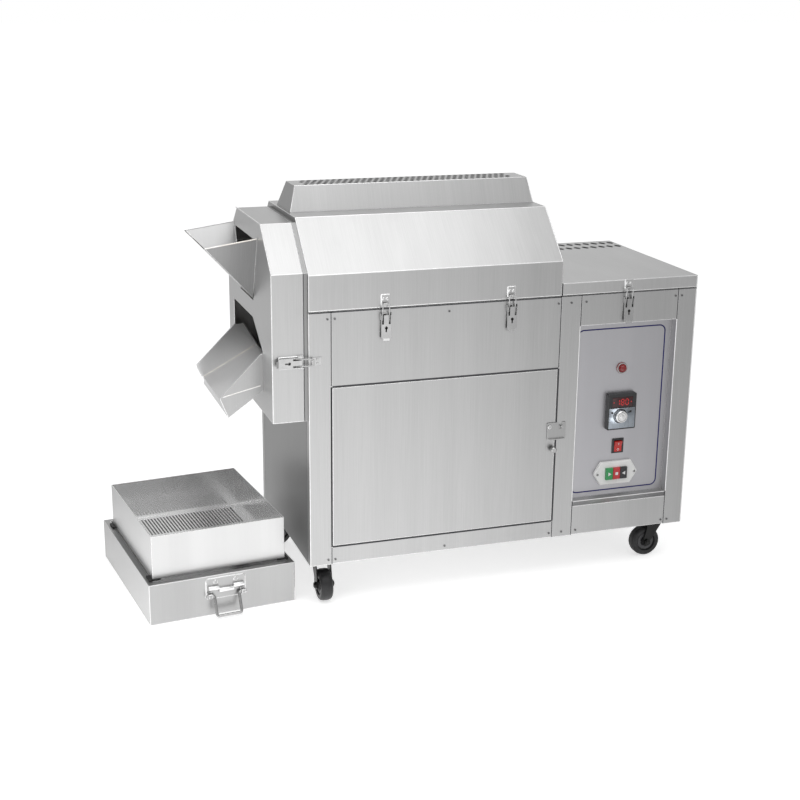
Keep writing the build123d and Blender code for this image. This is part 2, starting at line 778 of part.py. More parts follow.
def control_gear():
    back = cabinet_depth - sheet
    left = door_side + 65
    z = storage_top + 18
    rail = box(left, cabinet_width - 45, back - 8, back, z - 18, z + 17)
    contactor = box(left + 30, left + 75, back - 88, back - 8, z - 40, z + 40)
    contactor += box(left + 34, left + 71, back - 96, back - 88, z - 18, z + 18)
    terminals = box(left + 100, left + 170, back - 40, back - 8, z - 22, z + 20)
    for k in range(6):
        x = left + 104 + 11.5 * k
        terminals -= box(x, x + 8, back - 41, back - 34, z - 18, z + 16)
    probe_y = drum_axis_y + 60
    probe_x = drive_wall_x + sheet
    head = rod((probe_x, probe_y, z + 50), (1, 0, 0), 22.0, probe_head_radius)
    return group(rail, contactor, terminals, head)


# Hood, vent box and lid

def hinge_part(x0, leaf_side, fixed):
    """One half of a strap hinge at the back: leaf_side is +1 for the leaf above the pin."""
    y = cabinet_depth + hinge_offset
    z = seam_height + hood_gap / 2
    third = hinge_length / 3
    spans = [(0, third - 0.2), (2 * third + 0.2, hinge_length)]
    if not fixed:
        spans = [(third + 0.2, 2 * third - 0.2)]
    half = None
    for a, b in spans:
        knuckle = rod((x0 + a, y, z), (1, 0, 0), b - a, hinge_radius)
        knuckle += box(x0 + a, x0 + b, cabinet_depth, y - 1.0, z + leaf_side * 0.9,
                       z + leaf_side * 2.6)
        half = knuckle if half is None else half + knuckle
    leaf = box(x0, x0 + hinge_length, cabinet_depth, cabinet_depth + 1.0, z + leaf_side * 0.9,
               z + leaf_side * hinge_leaf_height)
    half += leaf
    bore = rod((x0 - 1, y, z), (1, 0, 0), hinge_length + 2, hinge_pin_radius + 0.06)
    half -= bore
    if fixed:
        half += rod((x0, y, z), (1, 0, 0), hinge_length, hinge_pin_radius)
    return half


hood_hinges = (60.0, door_side - 120.0)
lid_hinges = (door_side + 35.0, cabinet_width - 95.0)


def hood_shell():
    x0, x1 = 0.4, door_side
    shell = along_x(hood_profile(), x0, x1)
    shell -= along_x(hood_profile(sheet, seam_height), x0 + sheet, x1 - sheet)
    shell -= along_x(hood_profile(hood_rim, seam_height), x0 - 1, x0 + 2 * sheet)
    slot_y = (vent_foot_y[0] + 18, vent_foot_y[1] - 18)
    bridge = 30.0
    slot_start = vent_foot_x[0] + 35.0
    slot_length = (vent_foot_x[1] - 42.0 - slot_start - 2 * bridge) / 3
    for k in range(3):
        a = slot_start + (slot_length + bridge) * k
        shell -= box(a, a + slot_length, slot_y[0], slot_y[1], hood_top - 5, hood_top + 5)
    strikes = [latch_strike(x) for x in hood_latch_x]
    leaves = [hinge_part(x, 1, False) for x in hood_hinges]
    return group(shell, *strikes, *leaves)


def ring_face(xs, ys, z):
    return make_face(Polyline((xs[0], ys[0], z), (xs[1], ys[0], z), (xs[1], ys[1], z),
                              (xs[0], ys[1], z), close=True))


def shrink(pair, inset):
    return (pair[0] + inset, pair[1] - inset)


def vent_box():
    z0, z1 = hood_top, hood_top + vent_height
    outer = loft([ring_face(vent_foot_x, vent_foot_y, z0), ring_face(vent_top_x, vent_top_y, z1)])
    inner = loft([ring_face(shrink(vent_foot_x, sheet), shrink(vent_foot_y, sheet), z0 - 0.1),
                  ring_face(shrink(vent_top_x, 1.5 * sheet), shrink(vent_top_y, 1.5 * sheet),
                            z1 - sheet)])
    vent = outer - inner
    holes = []
    xs = shrink(vent_top_x, 24.0)
    ys = shrink(vent_top_y, 9.0)
    for row in range(vent_hole_rows):
        y = ys[0] + (ys[1] - ys[0]) * row / (vent_hole_rows - 1)
        stagger = 0.5 * (row % 2)
        for column in range(vent_hole_columns):
            x = xs[0] + (xs[1] - xs[0]) * (column + stagger) / vent_hole_columns
            holes.append(Pos(x, y, z1 - 2 * sheet) * Rot(0, 0, 45) * Box(
                vent_hole, vent_hole, 4 * sheet))
    return vent - holes


def vent_slot(x, y, z, size):
    """Cutter for a slot with clipped corners."""
    half_x, half_y = size[0] / 2, size[1] / 2
    clip = half_y * 0.6
    outline = [(x - half_x, y - half_y + clip), (x - half_x + clip, y - half_y),
               (x + half_x - clip, y - half_y), (x + half_x, y - half_y + clip),
               (x + half_x, y + half_y - clip), (x + half_x - clip, y + half_y),
               (x - half_x + clip, y + half_y), (x - half_x, y + half_y - clip)]
    return along_z(outline, z - 2 * sheet, z + 2 * sheet)


def control_lid():
    x0, x1 = door_side + hood_gap, cabinet_width
    z0 = seam_height + hood_gap
    z1 = seam_height + hood_gap + lid_height
    lid = box(x0, x1, 0, cabinet_depth, z0, z1)
    lid -= box(x0 + sheet, x1 - sheet, sheet, cabinet_depth - sheet, z0 - 1, z1 - sheet)
    slots = []
    for row in range(lid_slot_rows):
        y = cabinet_depth - 26.0 - lid_slot_row_gap * row
        for column in range(lid_slot_columns):
            x = x1 - 12.0 - lid_slot_pitch * column
            size = large_slot if (row + column) % 2 else small_slot
            slots.append(vent_slot(x, y, z1, size))
    lid = lid - slots
    leaves = [hinge_part(x, 1, False) for x in lid_hinges]
    return group(lid, latch_strike(lid_latch_x), *leaves)


# Toggle latches. In a latch's own frame u points to the strike, v sideways and w outwards.

hood_latch_x = (147.0, door_side - 105.5)
lid_latch_x = cabinet_width - 152.5
latch_pivot_z = seam_height - 14.0
cover_latch_x = -15.5
cover_latch_z = drum_axis_z - 62.0


def latch_frame(origin, u, w):
    return Plane(origin=origin, x_dir=u, z_dir=w)


def hood_frame(x):
    return latch_frame((x, 0, latch_pivot_z), (0, 0, 1), (0, -1, 0))


def cover_latch_frame():
    return latch_frame((cover_latch_x, cover_front, cover_latch_z), (1, 0, 0), (0, -1, 0))


latch_frames = [hood_frame(hood_latch_x[0]), hood_frame(hood_latch_x[1]),
                hood_frame(lid_latch_x), cover_latch_frame()]
latch_steps = [0.0, 0.0, 0.0, cover_front]


def latch_base():
    half = latch_width / 2
    ear = half - 1.2
    base = box(-lever_length, 6.0, -half, half, 0, sheet)
    top = lever_pivot_height + 2.6
    for side in (-1, 1):
        base += box(-6.0, 6.0, side * ear, side * half, 0, top)
        base += rod((0, side * (lever_width / 2 - sheet - 0.1), lever_pivot_height),
                    (0, side, 0), half - lever_width / 2 + sheet + 0.4, pivot_rivet_radius)
        base += rod((-14.0 if side > 0 else -30.0, 0, sheet), (0, 0, 1), 0.9, 3.0)
    return base


def latch_lever():
    half = lever_width / 2
    top = 8.1
    plate = box(-lever_length - 2, -15.0, -half, half, top - sheet, top)
    tongue = box(-15.5, 2.2, -bail_half_width + 1.8, bail_half_width - 1.8, top - sheet, top)
    outline = [(2.2, 2.6), (2.2, top), (-lever_length - 2, top), (-lever_length - 2, 5.2),
               (-18.0, 2.6)]
    lever = plate + tongue
    for side in (-1, 1):
        flange = along_y(outline, side * (half - sheet), side * half)
        lever += flange
    lip = along_y([(-lever_length - 2, top - sheet), (-lever_length - 2, top),
                   (-lever_length - 6, top + 2.5), (-lever_length - 6.5, top + 1.4)],
                  -half + 3, half - 3)
    lever += lip
    lever -= rod((-22.0, 0, 0), (0, 0, 1), 12.0, 3.0)
    lever -= box(-30.0, -22.0, -1.4, 1.4, 0, 12.0)
    for side in (-1, 1):
        lever -= rod((0, side * (half - 2 * sheet), lever_pivot_height), (0, side, 0),
                     3 * sheet, pivot_rivet_radius + pivot_fit)
        lever -= rod((-bail_pivot_back, side * (half - 2 * sheet), bail_pivot_height),
                     (0, side, 0), 3 * sheet, bail_wire + pivot_fit)
    return lever


def latch_bail(step):
    half = bail_half_width
    u0, w0 = -bail_pivot_back, bail_pivot_height
    u1, w1 = u0 + bail_reach, 7.9 + step
    end = lever_width / 2 - 0.1
    return wire_run([(u0, -end, w0), (u0, -half, w0), (u1, -half, w1), (u1, half, w1),
                     (u0, half, w0), (u0, end, w0)], bail_wire, 1.25)


def strike_solid():
    half = 8.0
    strike = box(strike_start, strike_start + strike_length, -half, half, 0, sheet)
    hook = along_y([(strike_start + 1, 0), (strike_start + 1, 3.6), (strike_start + 4.5, 5.6),
                    (strike_start + 5.1, 4.6), (strike_start + 2.4, 3.0),
                    (strike_start + 2.4, 0)], -3.6, 3.6)
    strike += hook
    for side in (-1, 1):
        strike += rod((strike_start + 12.0, side * 3.8, sheet), (0, 0, 1), 1.0, 2.4)
    return strike


def latch_strike(x):
    return hood_frame(x) * strike_solid()


def cover_strike():
    frame = latch_frame((cover_latch_x, 0, cover_latch_z), (1, 0, 0), (0, -1, 0))
    return frame * strike_solid()


cover_hinge_x = -ring_depth - cover_gap / 2
cover_hinge_y = cover_back + 5.5
cover_hinge_z = (cover_foot + 47.0, cover_bend - 13.0)
barrel_radius = 4.0
barrel_pin_radius = 2.2
barrel_half = 28.0
door_pin_x = post_width + door_gap + 3.4
door_pin_y = 3.4
door_pin_radius = 1.6
door_pin_fit = 0.06


def cover_barrel(z, upper):
    x, y = cover_hinge_x, cover_hinge_y
    if upper:
        barrel = rod((x, y, z + 0.3), (0, 0, 1), barrel_half, barrel_radius)
        barrel += box(x - 5.0, x - 3.0, cover_back, y, z + 0.3, z + barrel_half)
        barrel += box(x - 4.0, x, y - 1.5, y + 1.5, z + 0.3, z + barrel_half)
        return barrel - rod((x, y, z), (0, 0, 1), barrel_half + 1, barrel_pin_radius + 0.06)
    barrel = rod((x, y, z), (0, 0, -1), barrel_half, barrel_radius)
    barrel += box(x, 0, y - 1.0, y + 1.0, z - barrel_half, z)
    return barrel + rod((x, y, z - 1), (0, 0, 1), barrel_half - 2, barrel_pin_radius)


def cabinet_fittings():
    pieces = [frame * latch_base() for frame in latch_frames[:3]]
    pieces.append(cover_strike())
    pieces += [hinge_part(x, -1, True) for x in hood_hinges + lid_hinges]
    pieces += [cover_barrel(z, False) for z in cover_hinge_z]
    foot = door_foot - door_gap
    pieces.append(rod((door_pin_x, door_pin_y, foot), (0, 0, 1), 6.0, door_pin_radius))
    pieces.append(rod((door_pin_x, door_pin_y, door_top), (0, 0, -1), 6.0, door_pin_radius))
    x, z = catch_stud
    pieces.append(rod((x, 0, z), (0, -1, 0), 5.2, catch_stud_radius))
    return group(*pieces)


def panel_screws():
    top = seam_height - 14.0
    foot = 10.0
    columns = [post_width - 7, post_width + 7, (post_width + door_side) / 2, door_side - 6,
               (door_side + middle_post_end) / 2, middle_post_end + 10, right_post_start - 6,
               right_post_start + 8]
    screws = []
    for x in columns:
        for z in (top, foot):
            screws.append(rod((x, 0, z), (0, -1, 0), 1.1, 2.3))
    return group(*screws)


# Door and its catch plate

catch_pivot = (door_side - 15.0, 237.0)
catch_stud = (door_side + 9.7, 237.0)
catch_stud_radius = 2.3
catch_pivot_radius = 2.4
catch_x = (door_side - 20.0, door_side + 20.5)
catch_z = (211.0, 245.5)
catch_turn = 32.0            # how far the plate turns down to come off its stud


def door():
    x0, x1 = post_width + door_gap, door_side - door_gap
    z0, z1 = door_foot, door_top - door_gap
    leaf = box(x0, x1, 0, door_return, z0, z1)
    leaf -= box(x0 + sheet, x1 - sheet, sheet, door_return + 1, z0 + sheet, z1 - sheet)
    leaf -= rod((door_pin_x, door_pin_y, z0 - 1), (0, 0, 1), z1 - z0 + 2,
                door_pin_radius + door_pin_fit)
    x, z = catch_pivot
    leaf += rod((x, 0.2, z), (0, -1, 0), 3.4, catch_pivot_radius)
    return leaf + rod((x, -2.4, z), (0, -1, 0), 1.0, 4.2)


def door_knob():
    x, z = door_side - 7.5, 191.0
    stem = rod((x, 0, z), (0, -1, 0), 7.0, 3.0)
    head = rod((x, -6.0, z), (0, -1, 0), 7.0, 6.0)
    return stem + chamfer(head.faces().sort_by(Axis.Y)[0].edges(), 1.6)


def turn_catch():
    x0, x1 = catch_x
    z0, z1 = catch_z
    front, back = -1.9, -0.5
    plate = box(x0, x1, front, back, z0, z1)
    plate = fillet(plate.edges().filter_by(Axis.Y), 2.5)
    plate += box(x0 + 4, x1 - 3, -6.0, back, z0, z0 + 1.4)
    slot = catch_stud_radius + 0.7
    sx, sz = catch_stud
    lean = (sx - catch_pivot[0]) * (1 - cos(radians(catch_turn))) + 0.6
    floor = sz - catch_stud_radius - 2.4
    plate -= along_y([(sx - slot, floor), (sx + slot, floor), (sx + slot, z1 + 1),
                      (sx - slot - lean, z1 + 1)], -7, 0)
    x, z = catch_pivot
    return plate - rod((x, -7, z), (0, 1, 0), 8.0, catch_pivot_radius + pivot_fit)


# End cover, hopper and chute

feed_lip_z = feed_rim - feed_lip_drop
feed_slope = (feed_lip_z - feed_foot) / (cover_plate_x - feed_lip_x)
feed_inner_near = feed_near + feed_foot_narrowing
feed_inner_far = feed_far - feed_foot_narrowing


def feed_window():
    """Hole in the cover's end plate, just inside the hopper walls."""
    return [(feed_near + 8, feed_rim - 6), (feed_inner_near, feed_foot - 4),
            (feed_inner_far, feed_foot - 4), (feed_far - 8, feed_rim - 6)]


def chute_window():
    near = chute_near - sheet - 0.3
    foot = chute_floor_out[1] + 32.0
    return [(near, foot), (near, foot + 78), (near + 78, chute_window_top),
            (chute_window_far, chute_window_top), (chute_window_far, foot)]


def end_cover():
    x0, x1 = cover_plate_x, -ring_depth - cover_gap
    rim = along_x(cover_profile(), x0 + sheet, x1)
    rim -= along_x(cover_profile(sheet), x0 + sheet - 1, x1 + 1)
    plate = along_x(cover_profile(), x0, x0 + sheet)
    plate -= along_x(feed_window(), x0 - 1, x0 + 3)
    plate -= along_x(chute_window(), x0 - 1, x0 + 3)
    barrels = [cover_barrel(z, True) for z in cover_hinge_z]
    return group(rim, plate, cover_latch_frame() * latch_base(), *barrels)


def bent_sheet(corners, inside):
    """Flat sheet through the corners, with its thickness on the side of the point inside."""
    face = make_face(Polyline(*corners, close=True)).face()
    middle = sum((Vector(*c) for c in corners), Vector()) / len(corners)
    normal = face.normal_at()
    if (Vector(*inside) - middle).dot(normal) < 0:
        normal = normal * -1
    return extrude(face, amount=sheet, dir=normal)


def feed_hopper():
    x, lip = cover_plate_x, feed_lip_x
    tip = -feed_inner_reach
    tip_z = feed_foot - (tip - x) * feed_slope
    inner_wall = 40.0
    centre = (x - 20, (feed_near + feed_far) / 2, feed_rim - 10)
    within = (x + 5, (feed_near + feed_far) / 2, feed_foot + 20)
    near, far = feed_near, feed_far
    low_near, low_far = feed_inner_near, feed_inner_far
    sheets = [
        bent_sheet([(x, low_near, feed_foot), (x, low_far, feed_foot), (lip, far, feed_lip_z),
                    (lip, near, feed_lip_z)], centre),
        bent_sheet([(x, near, feed_rim), (x, low_near, feed_foot), (lip, near, feed_lip_z)],
                   centre),
        bent_sheet([(x, far, feed_rim), (x, low_far, feed_foot), (lip, far, feed_lip_z)],
                   centre),
        bent_sheet([(x, low_near, feed_foot), (x, low_far, feed_foot), (tip, low_far, tip_z),
                    (tip, low_near, tip_z)], within)]
    for y in (low_near, low_far):
        sheets.append(bent_sheet([(x, y, feed_foot), (x, y, feed_foot + inner_wall),
                                  (tip, y, tip_z + inner_wall), (tip, y, tip_z)], within))
    hopper = sheets[0]
    for piece in sheets[1:]:
        hopper += piece
    return hopper


chute_floor_out = (-137.3, drum_axis_z - 167.0)
chute_floor_in = (-24.0, drum_axis_z - 105.5)


def chute_wall(y):
    out_x, out_z = chute_floor_out
    in_x, in_z = chute_floor_in
    outline = [(in_x, in_z + 0.5), (-51.0, in_z + 46.0), (-72.0, in_z + 43.5),
               (-152.0, out_z + 25.0), (out_x + 1.3, out_z - 14.6),
               (cover_plate_x, out_z + 33.6), (in_x, in_z - 2.5)]
    wall = along_y(outline, y, y + sheet)
    corner = wall.edges().filter_by(Axis.Y).sort_by(Axis.X)[0]
    return fillet(corner, 7.0)


def discharge_chute():
    out_x, out_z = chute_floor_out
    in_x, in_z = chute_floor_in
    floor_sheet = along_y([(out_x, out_z), (in_x, in_z), (in_x, in_z - 1.4),
                           (out_x, out_z - 1.4)], chute_near - sheet, chute_far + sheet)
    hem = along_y([(out_x, out_z), (out_x + 1.3, out_z - 14.6), (out_x + 2.5, out_z - 14.6),
                   (out_x + 1.4, out_z)], chute_near - sheet, chute_far + sheet)
    return floor_sheet + hem + chute_wall(chute_near - sheet) + chute_wall(chute_far)


# Casters

crown_top = -plate_wall - race_height - 0.3
crown_wall = 2.4
axle_z = wheel_radius - caster_height
leg_inner = wheel_width / 2 + fork_gap
leg_wall = 2.2


def place_caster(shape, spot):
    x, y, turn = spot
    return Pos(x, y, 0) * Rot(0, 0, turn) * shape


def caster_fork():
    low = crown_top - crown_wall
    outer = leg_inner + leg_wall
    crown = box(-17, 19, -outer, outer, low, crown_top)
    crown = fillet(crown.edges().filter_by(Axis.Z), 6.0)
    race = rod((0, 0, crown_top), (0, 0, 1), race_height, 17.0)
    fork = crown + race
    outline = [(-14, crown_top), (18, crown_top), (caster_trail + 8.5, axle_z + 3),
               (caster_trail + 5, axle_z - 7.5), (caster_trail - 5, axle_z - 7.5),
               (caster_trail - 8.5, axle_z + 3)]
    for side in (-1, 1):
        fork += along_y(outline, side * leg_inner, side * outer)
    bore = kingpin_radius + kingpin_fit
    fork -= rod((0, 0, low - 1), (0, 0, 1), race_height + crown_wall + 2, bore)
    axle = rod((caster_trail, -outer - 5, axle_z), (0, 1, 0), 2 * outer + 10, axle_radius)
    for side in (-1, 1):
        nut = extrude(Plane(origin=(caster_trail, side * outer, axle_z), z_dir=(0, side, 0))
                      * RegularPolygon(7.0, 6), amount=3.6)
        axle += nut
    return fork + axle


def caster_wheel():
    r, half = wheel_radius, wheel_width / 2
    outline = [(wheel_bore, -half - 0.8), (9.0, -half - 0.8), (10.5, -half + 3), (19.0, -half + 3),
               (20.5, -half), (r - 4.0, -half), (r - 1.2, -half + 2.5), (r, -half + 7),
               (r, half - 7), (r - 1.2, half - 2.5), (r - 4.0, half), (20.5, half),
               (19.0, half - 3), (10.5, half - 3), (9.0, half + 0.8), (wheel_bore, half + 0.8)]
    points = [(caster_trail + radius, y, axle_z) for radius, y in outline]
    return revolve(make_face(Polyline(*points, close=True)),
                   axis=Axis((caster_trail, 0, axle_z), (0, 1, 0)))


# Loose trays

floor_z = -caster_height


def place_tray(shape):
    return Pos(tray_corner[0], tray_corner[1], floor_z) * Rot(0, 0, tray_turn) * shape


carry_middle = tray_length / 2 + 4.0
ear_radius = 5.0
ear_width = 8.0
ear_out = 6.5


def lower_tray():
    tray = box(0, tray_length, 0, tray_depth, 0, tray_height)
    tray -= box(sheet, tray_length - sheet, sheet, tray_depth - sheet, sheet,
                tray_height - sheet)
    tray -= box(tray_rim, tray_length - tray_rim, tray_rim, tray_depth - tray_rim, sheet,
                tray_height + 1)
    half = carry_width / 2
    plate = box(carry_middle - half - 6, carry_middle + half + 6, -1.5, 0, carry_height - 8,
                carry_height + 34)
    plate = chamfer(plate.edges().filter_by(Axis.Y), 4.0)
    for side in (-1, 1):
        a = carry_middle + side * half
        plate += box(a - ear_width / 2, a + ear_width / 2, -ear_out - ear_radius + 1, 0,
                     carry_height - 1.5, carry_height + ear_radius)
        plate += rod((a - ear_width / 2, -ear_out, carry_height), (1, 0, 0), ear_width,
                     ear_radius)
        plate -= rod((a - ear_width, -ear_out, carry_height), (1, 0, 0), 2 * ear_width,
                     carry_wire + 0.08)
        plate += rod((carry_middle + side * 20, -1.5, carry_height + 26), (0, -1, 0), 1.6, 4.0)
    return group(place_tray(tray), place_tray(plate))


def carry_handle():
    half = carry_width / 2
    out = 0.45
    z0, y0 = carry_height, -ear_out
    y1, z1 = y0 - carry_drop * out, z0 - carry_drop
    end = half + ear_width / 2 + 3.0
    loop = wire_run([(carry_middle - end, y0, z0), (carry_middle - half + 8.5, y0, z0),
                     (carry_middle - half + 8.5, y1, z1), (carry_middle + half - 8.5, y1, z1),
                     (carry_middle + half - 8.5, y0, z0), (carry_middle + end, y0, z0)],
                    carry_wire, 3.6)
    return place_tray(loop)


def tray_feet():
    a0, b0 = sieve_offset
    pads = []
    for a in (a0 - 7, a0 + sieve_length - 15):
        for b in (b0 - 2, b0 + sieve_depth - 22):
            pads.append(place_tray(box(a, a + 22, b, b + 24, tray_height,
                                       tray_height + foot_height)))
    return group(*pads)


def sieve_tray():
    a0, b0 = sieve_offset
    z0 = tray_height + foot_height
    a1, b1, z1 = a0 + sieve_length, b0 + sieve_depth, z0 + sieve_height
    tray = box(a0, a1, b0, b1, z0, z1)
    tray -= box(a0 + sheet, a1 - sheet, b0 + sheet, b1 - sheet, z0 - 1, z0 + sieve_floor)
    tray -= box(a0 + sheet, a1 - sheet, b0 + sheet, b1 - sheet, z0 + sieve_floor + sheet, z1 + 1)
    slots = []
    pitch_a = (sieve_length - 2 * sieve_border) / sieve_columns
    pitch_b = (sieve_depth - 2 * sieve_border + sieve_bridge) / sieve_rows
    for column in range(sieve_columns):
        for row in range(sieve_rows):
            a = a0 + sieve_border + pitch_a * (column + 0.5)
            b = b0 + sieve_border + pitch_b * row
            slots.append(box(a - sieve_slot / 2, a + sieve_slot / 2, b, b + pitch_b - sieve_bridge,
                             z0 - 1, z0 + sieve_floor + 2 * sheet))
    return place_tray(tray - slots)


nodes = {
    "base_pan": base_pan(),
    "frame_posts": frame_posts(),
    "frame_rails": frame_rails(),
    "front_panel": front_panel(),
    "side_panels": side_panels(),
    "back_panel": back_panel(),
    "left_end_wall": left_end_wall(),
    "drive_end_wall": drive_end_wall(),
    "trough_liner": trough_liner(),
    "insulation": insulation(),
    "heating_tubes": heating_tubes(),
    "control_panel": control_panel(),
    "pilot_light": pilot_light(),
    "temperature_controller": temperature_controller(),
    "rocker_bezel": rocker_bezel(),
    "button_station": button_station(),
    "control_gear": control_gear(),
    "gear_motor": gear_motor(),
    "drum_bearing": drum_bearing(),
    "cable_gland": cable_gland(),
    "cabinet_fittings": cabinet_fittings(),
    "panel_screws": panel_screws(),
    "hood_shell": hood_shell(),
    "vent_box": vent_box(),
    "control_lid": control_lid(),
    "end_cover": end_cover(),
    "feed_hopper": feed_hopper(),
    "discharge_chute": discharge_chute(),
    "door": door(),
    "door_knob": door_knob(),
    "turn_catch": turn_catch(),
    "drum": drum(),
    "drum_shaft": drum_shaft(),
    "front_support_roller": support_roller(-1),
    "rear_support_roller": support_roller(1),
    "temperature_knob": temperature_knob(),
    "power_rocker": rocker(),
    "start_button": push_button(button_spots[0]),
    "stop_button": push_button(button_spots[1]),
    "reverse_button": push_button(button_spots[2]),
    "lower_tray": lower_tray(),
    "carry_handle": carry_handle(),
    "tray_feet": tray_feet(),
    "sieve_tray": sieve_tray(),
}
latch_names = ["hood_latch_left", "hood_latch_right", "lid_latch", "cover_latch"]
for name, frame, step in zip(latch_names, latch_frames, latch_steps):
    nodes[name + "_lever"] = frame * latch_lever()
    nodes[name + "_bail"] = frame * latch_bail(step)
caster_names = ["front_left", "front_right", "rear_left", "rear_right"]
for name, spot in zip(caster_names, caster_spots):
    nodes["caster_fork_" + name] = place_caster(caster_fork(), spot)
    nodes["caster_wheel_" + name] = place_caster(caster_wheel(), spot)

boxes = [shape.bounding_box() for shape in nodes.values()]
low = Vector(*[min(getattr(b.min, axis) for b in boxes) for axis in "XYZ"])
high = Vector(*[max(getattr(b.max, axis) for b in boxes) for axis in "XYZ"])
shift = Vector(-(low.X + high.X) / 2, -(low.Y + high.Y) / 2, -low.Z)

os.makedirs("parts", exist_ok=True)
for name, shape in nodes.items():
    export_step(shape.moved(Location(shift)), "parts/" + name + ".step")
print(len(nodes), "nodes, overall size", high - low, "shift", shift)
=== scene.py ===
import bpy
import json
from math import cos, pi, radians, sin
from mathutils import Matrix, Vector


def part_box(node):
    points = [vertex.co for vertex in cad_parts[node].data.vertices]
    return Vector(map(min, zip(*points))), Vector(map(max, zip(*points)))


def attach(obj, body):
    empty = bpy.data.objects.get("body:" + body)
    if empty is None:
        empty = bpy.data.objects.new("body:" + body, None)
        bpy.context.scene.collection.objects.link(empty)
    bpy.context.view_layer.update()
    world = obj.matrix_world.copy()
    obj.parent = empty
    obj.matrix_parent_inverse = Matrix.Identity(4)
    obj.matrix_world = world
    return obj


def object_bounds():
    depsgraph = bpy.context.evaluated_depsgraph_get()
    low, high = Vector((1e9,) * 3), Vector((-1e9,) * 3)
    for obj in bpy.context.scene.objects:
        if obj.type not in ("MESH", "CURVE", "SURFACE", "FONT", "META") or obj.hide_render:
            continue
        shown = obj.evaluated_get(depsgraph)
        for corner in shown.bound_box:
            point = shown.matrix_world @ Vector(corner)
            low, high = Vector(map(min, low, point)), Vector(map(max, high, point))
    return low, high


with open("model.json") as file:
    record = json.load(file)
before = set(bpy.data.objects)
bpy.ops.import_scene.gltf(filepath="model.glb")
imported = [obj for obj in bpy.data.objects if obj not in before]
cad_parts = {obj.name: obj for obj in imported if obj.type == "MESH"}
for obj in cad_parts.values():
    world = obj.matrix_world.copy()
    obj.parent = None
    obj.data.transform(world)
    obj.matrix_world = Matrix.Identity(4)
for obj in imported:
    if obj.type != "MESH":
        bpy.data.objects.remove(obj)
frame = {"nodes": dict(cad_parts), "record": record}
cad_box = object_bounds()
cabinet_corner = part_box("frame_posts")[0]


def place(x, y, z):
    """Millimetres from the cabinet's lower front left corner, as a point of the frame."""
    return cabinet_corner + Vector((x, y, z)) / 1000


# Places on the cabinet, in millimetres: x to the right, y to the back, z up

control_x, panel_y = 653.5, 20.0  # the middle of the control panel, and its front face
tray_corner, tray_turn = (-308.0, 12.6, -85.6), 6.0
vent_holes = {"first": (43.0, 175.0, 708.0), "pitch": (427.0 / 34, 15.0), "rows": 4,
              "columns": 34, "shift": 0.5}
lid_slots = {"first": (534.5, 326.0, 525.2), "pitch": (19.5, 38.0), "rows": 2,
             "columns": 14, "shift": 0.0}


# Materials: node maths written as expressions

class Number:
    """A number that changes over a surface."""

    def __init__(self, finish, socket):
        self.finish = finish
        self.socket = socket

    def math(self, operation, *values):
        node = self.finish.node("ShaderNodeMath", {"operation": operation},
                                dict(enumerate((self,) + values)))
        return Number(self.finish, node.outputs[0])

    def __add__(self, other):
        return self.math("ADD", other)

    def __mul__(self, other):
        return self.math("MULTIPLY", other)

    def __sub__(self, other):
        return self.math("SUBTRACT", other)

    def __rsub__(self, other):
        return (self * -1.0) + other

    __radd__ = __add__
    __rmul__ = __mul__

    def clamped(self):
        return self.math("MAXIMUM", 0.0).math("MINIMUM", 1.0)

    def step(self, low, high):
        """0 below low, 1 above high, straight between."""
        return ((self - low) * (1.0 / (high - low))).clamped()


class Nodes:
    """The nodes of one material or of the world."""

    def __init__(self, tree):
        self.tree = tree
        tree.nodes.clear()

    def node(self, kind, settings=None, inputs=None):
        """A node of one kind: its settings first, then the values or links of its sockets."""
        node = self.tree.nodes.new(kind)
        for key, value in (settings or {}).items():
            setattr(node, key, value)
        for key, value in (inputs or {}).items():
            socket = node.inputs[key]
            if isinstance(value, Number):
                self.tree.links.new(value.socket, socket)
            elif isinstance(value, bpy.types.NodeSocket):
                self.tree.links.new(value, socket)
            elif hasattr(value, "__len__") and socket.type == "RGBA":
                socket.default_value = (*value, 1.0)
            else:
                socket.default_value = value
        return node

    def number(self, kind, output, settings=None, inputs=None):
        return Number(self, self.node(kind, settings, inputs).outputs[output])


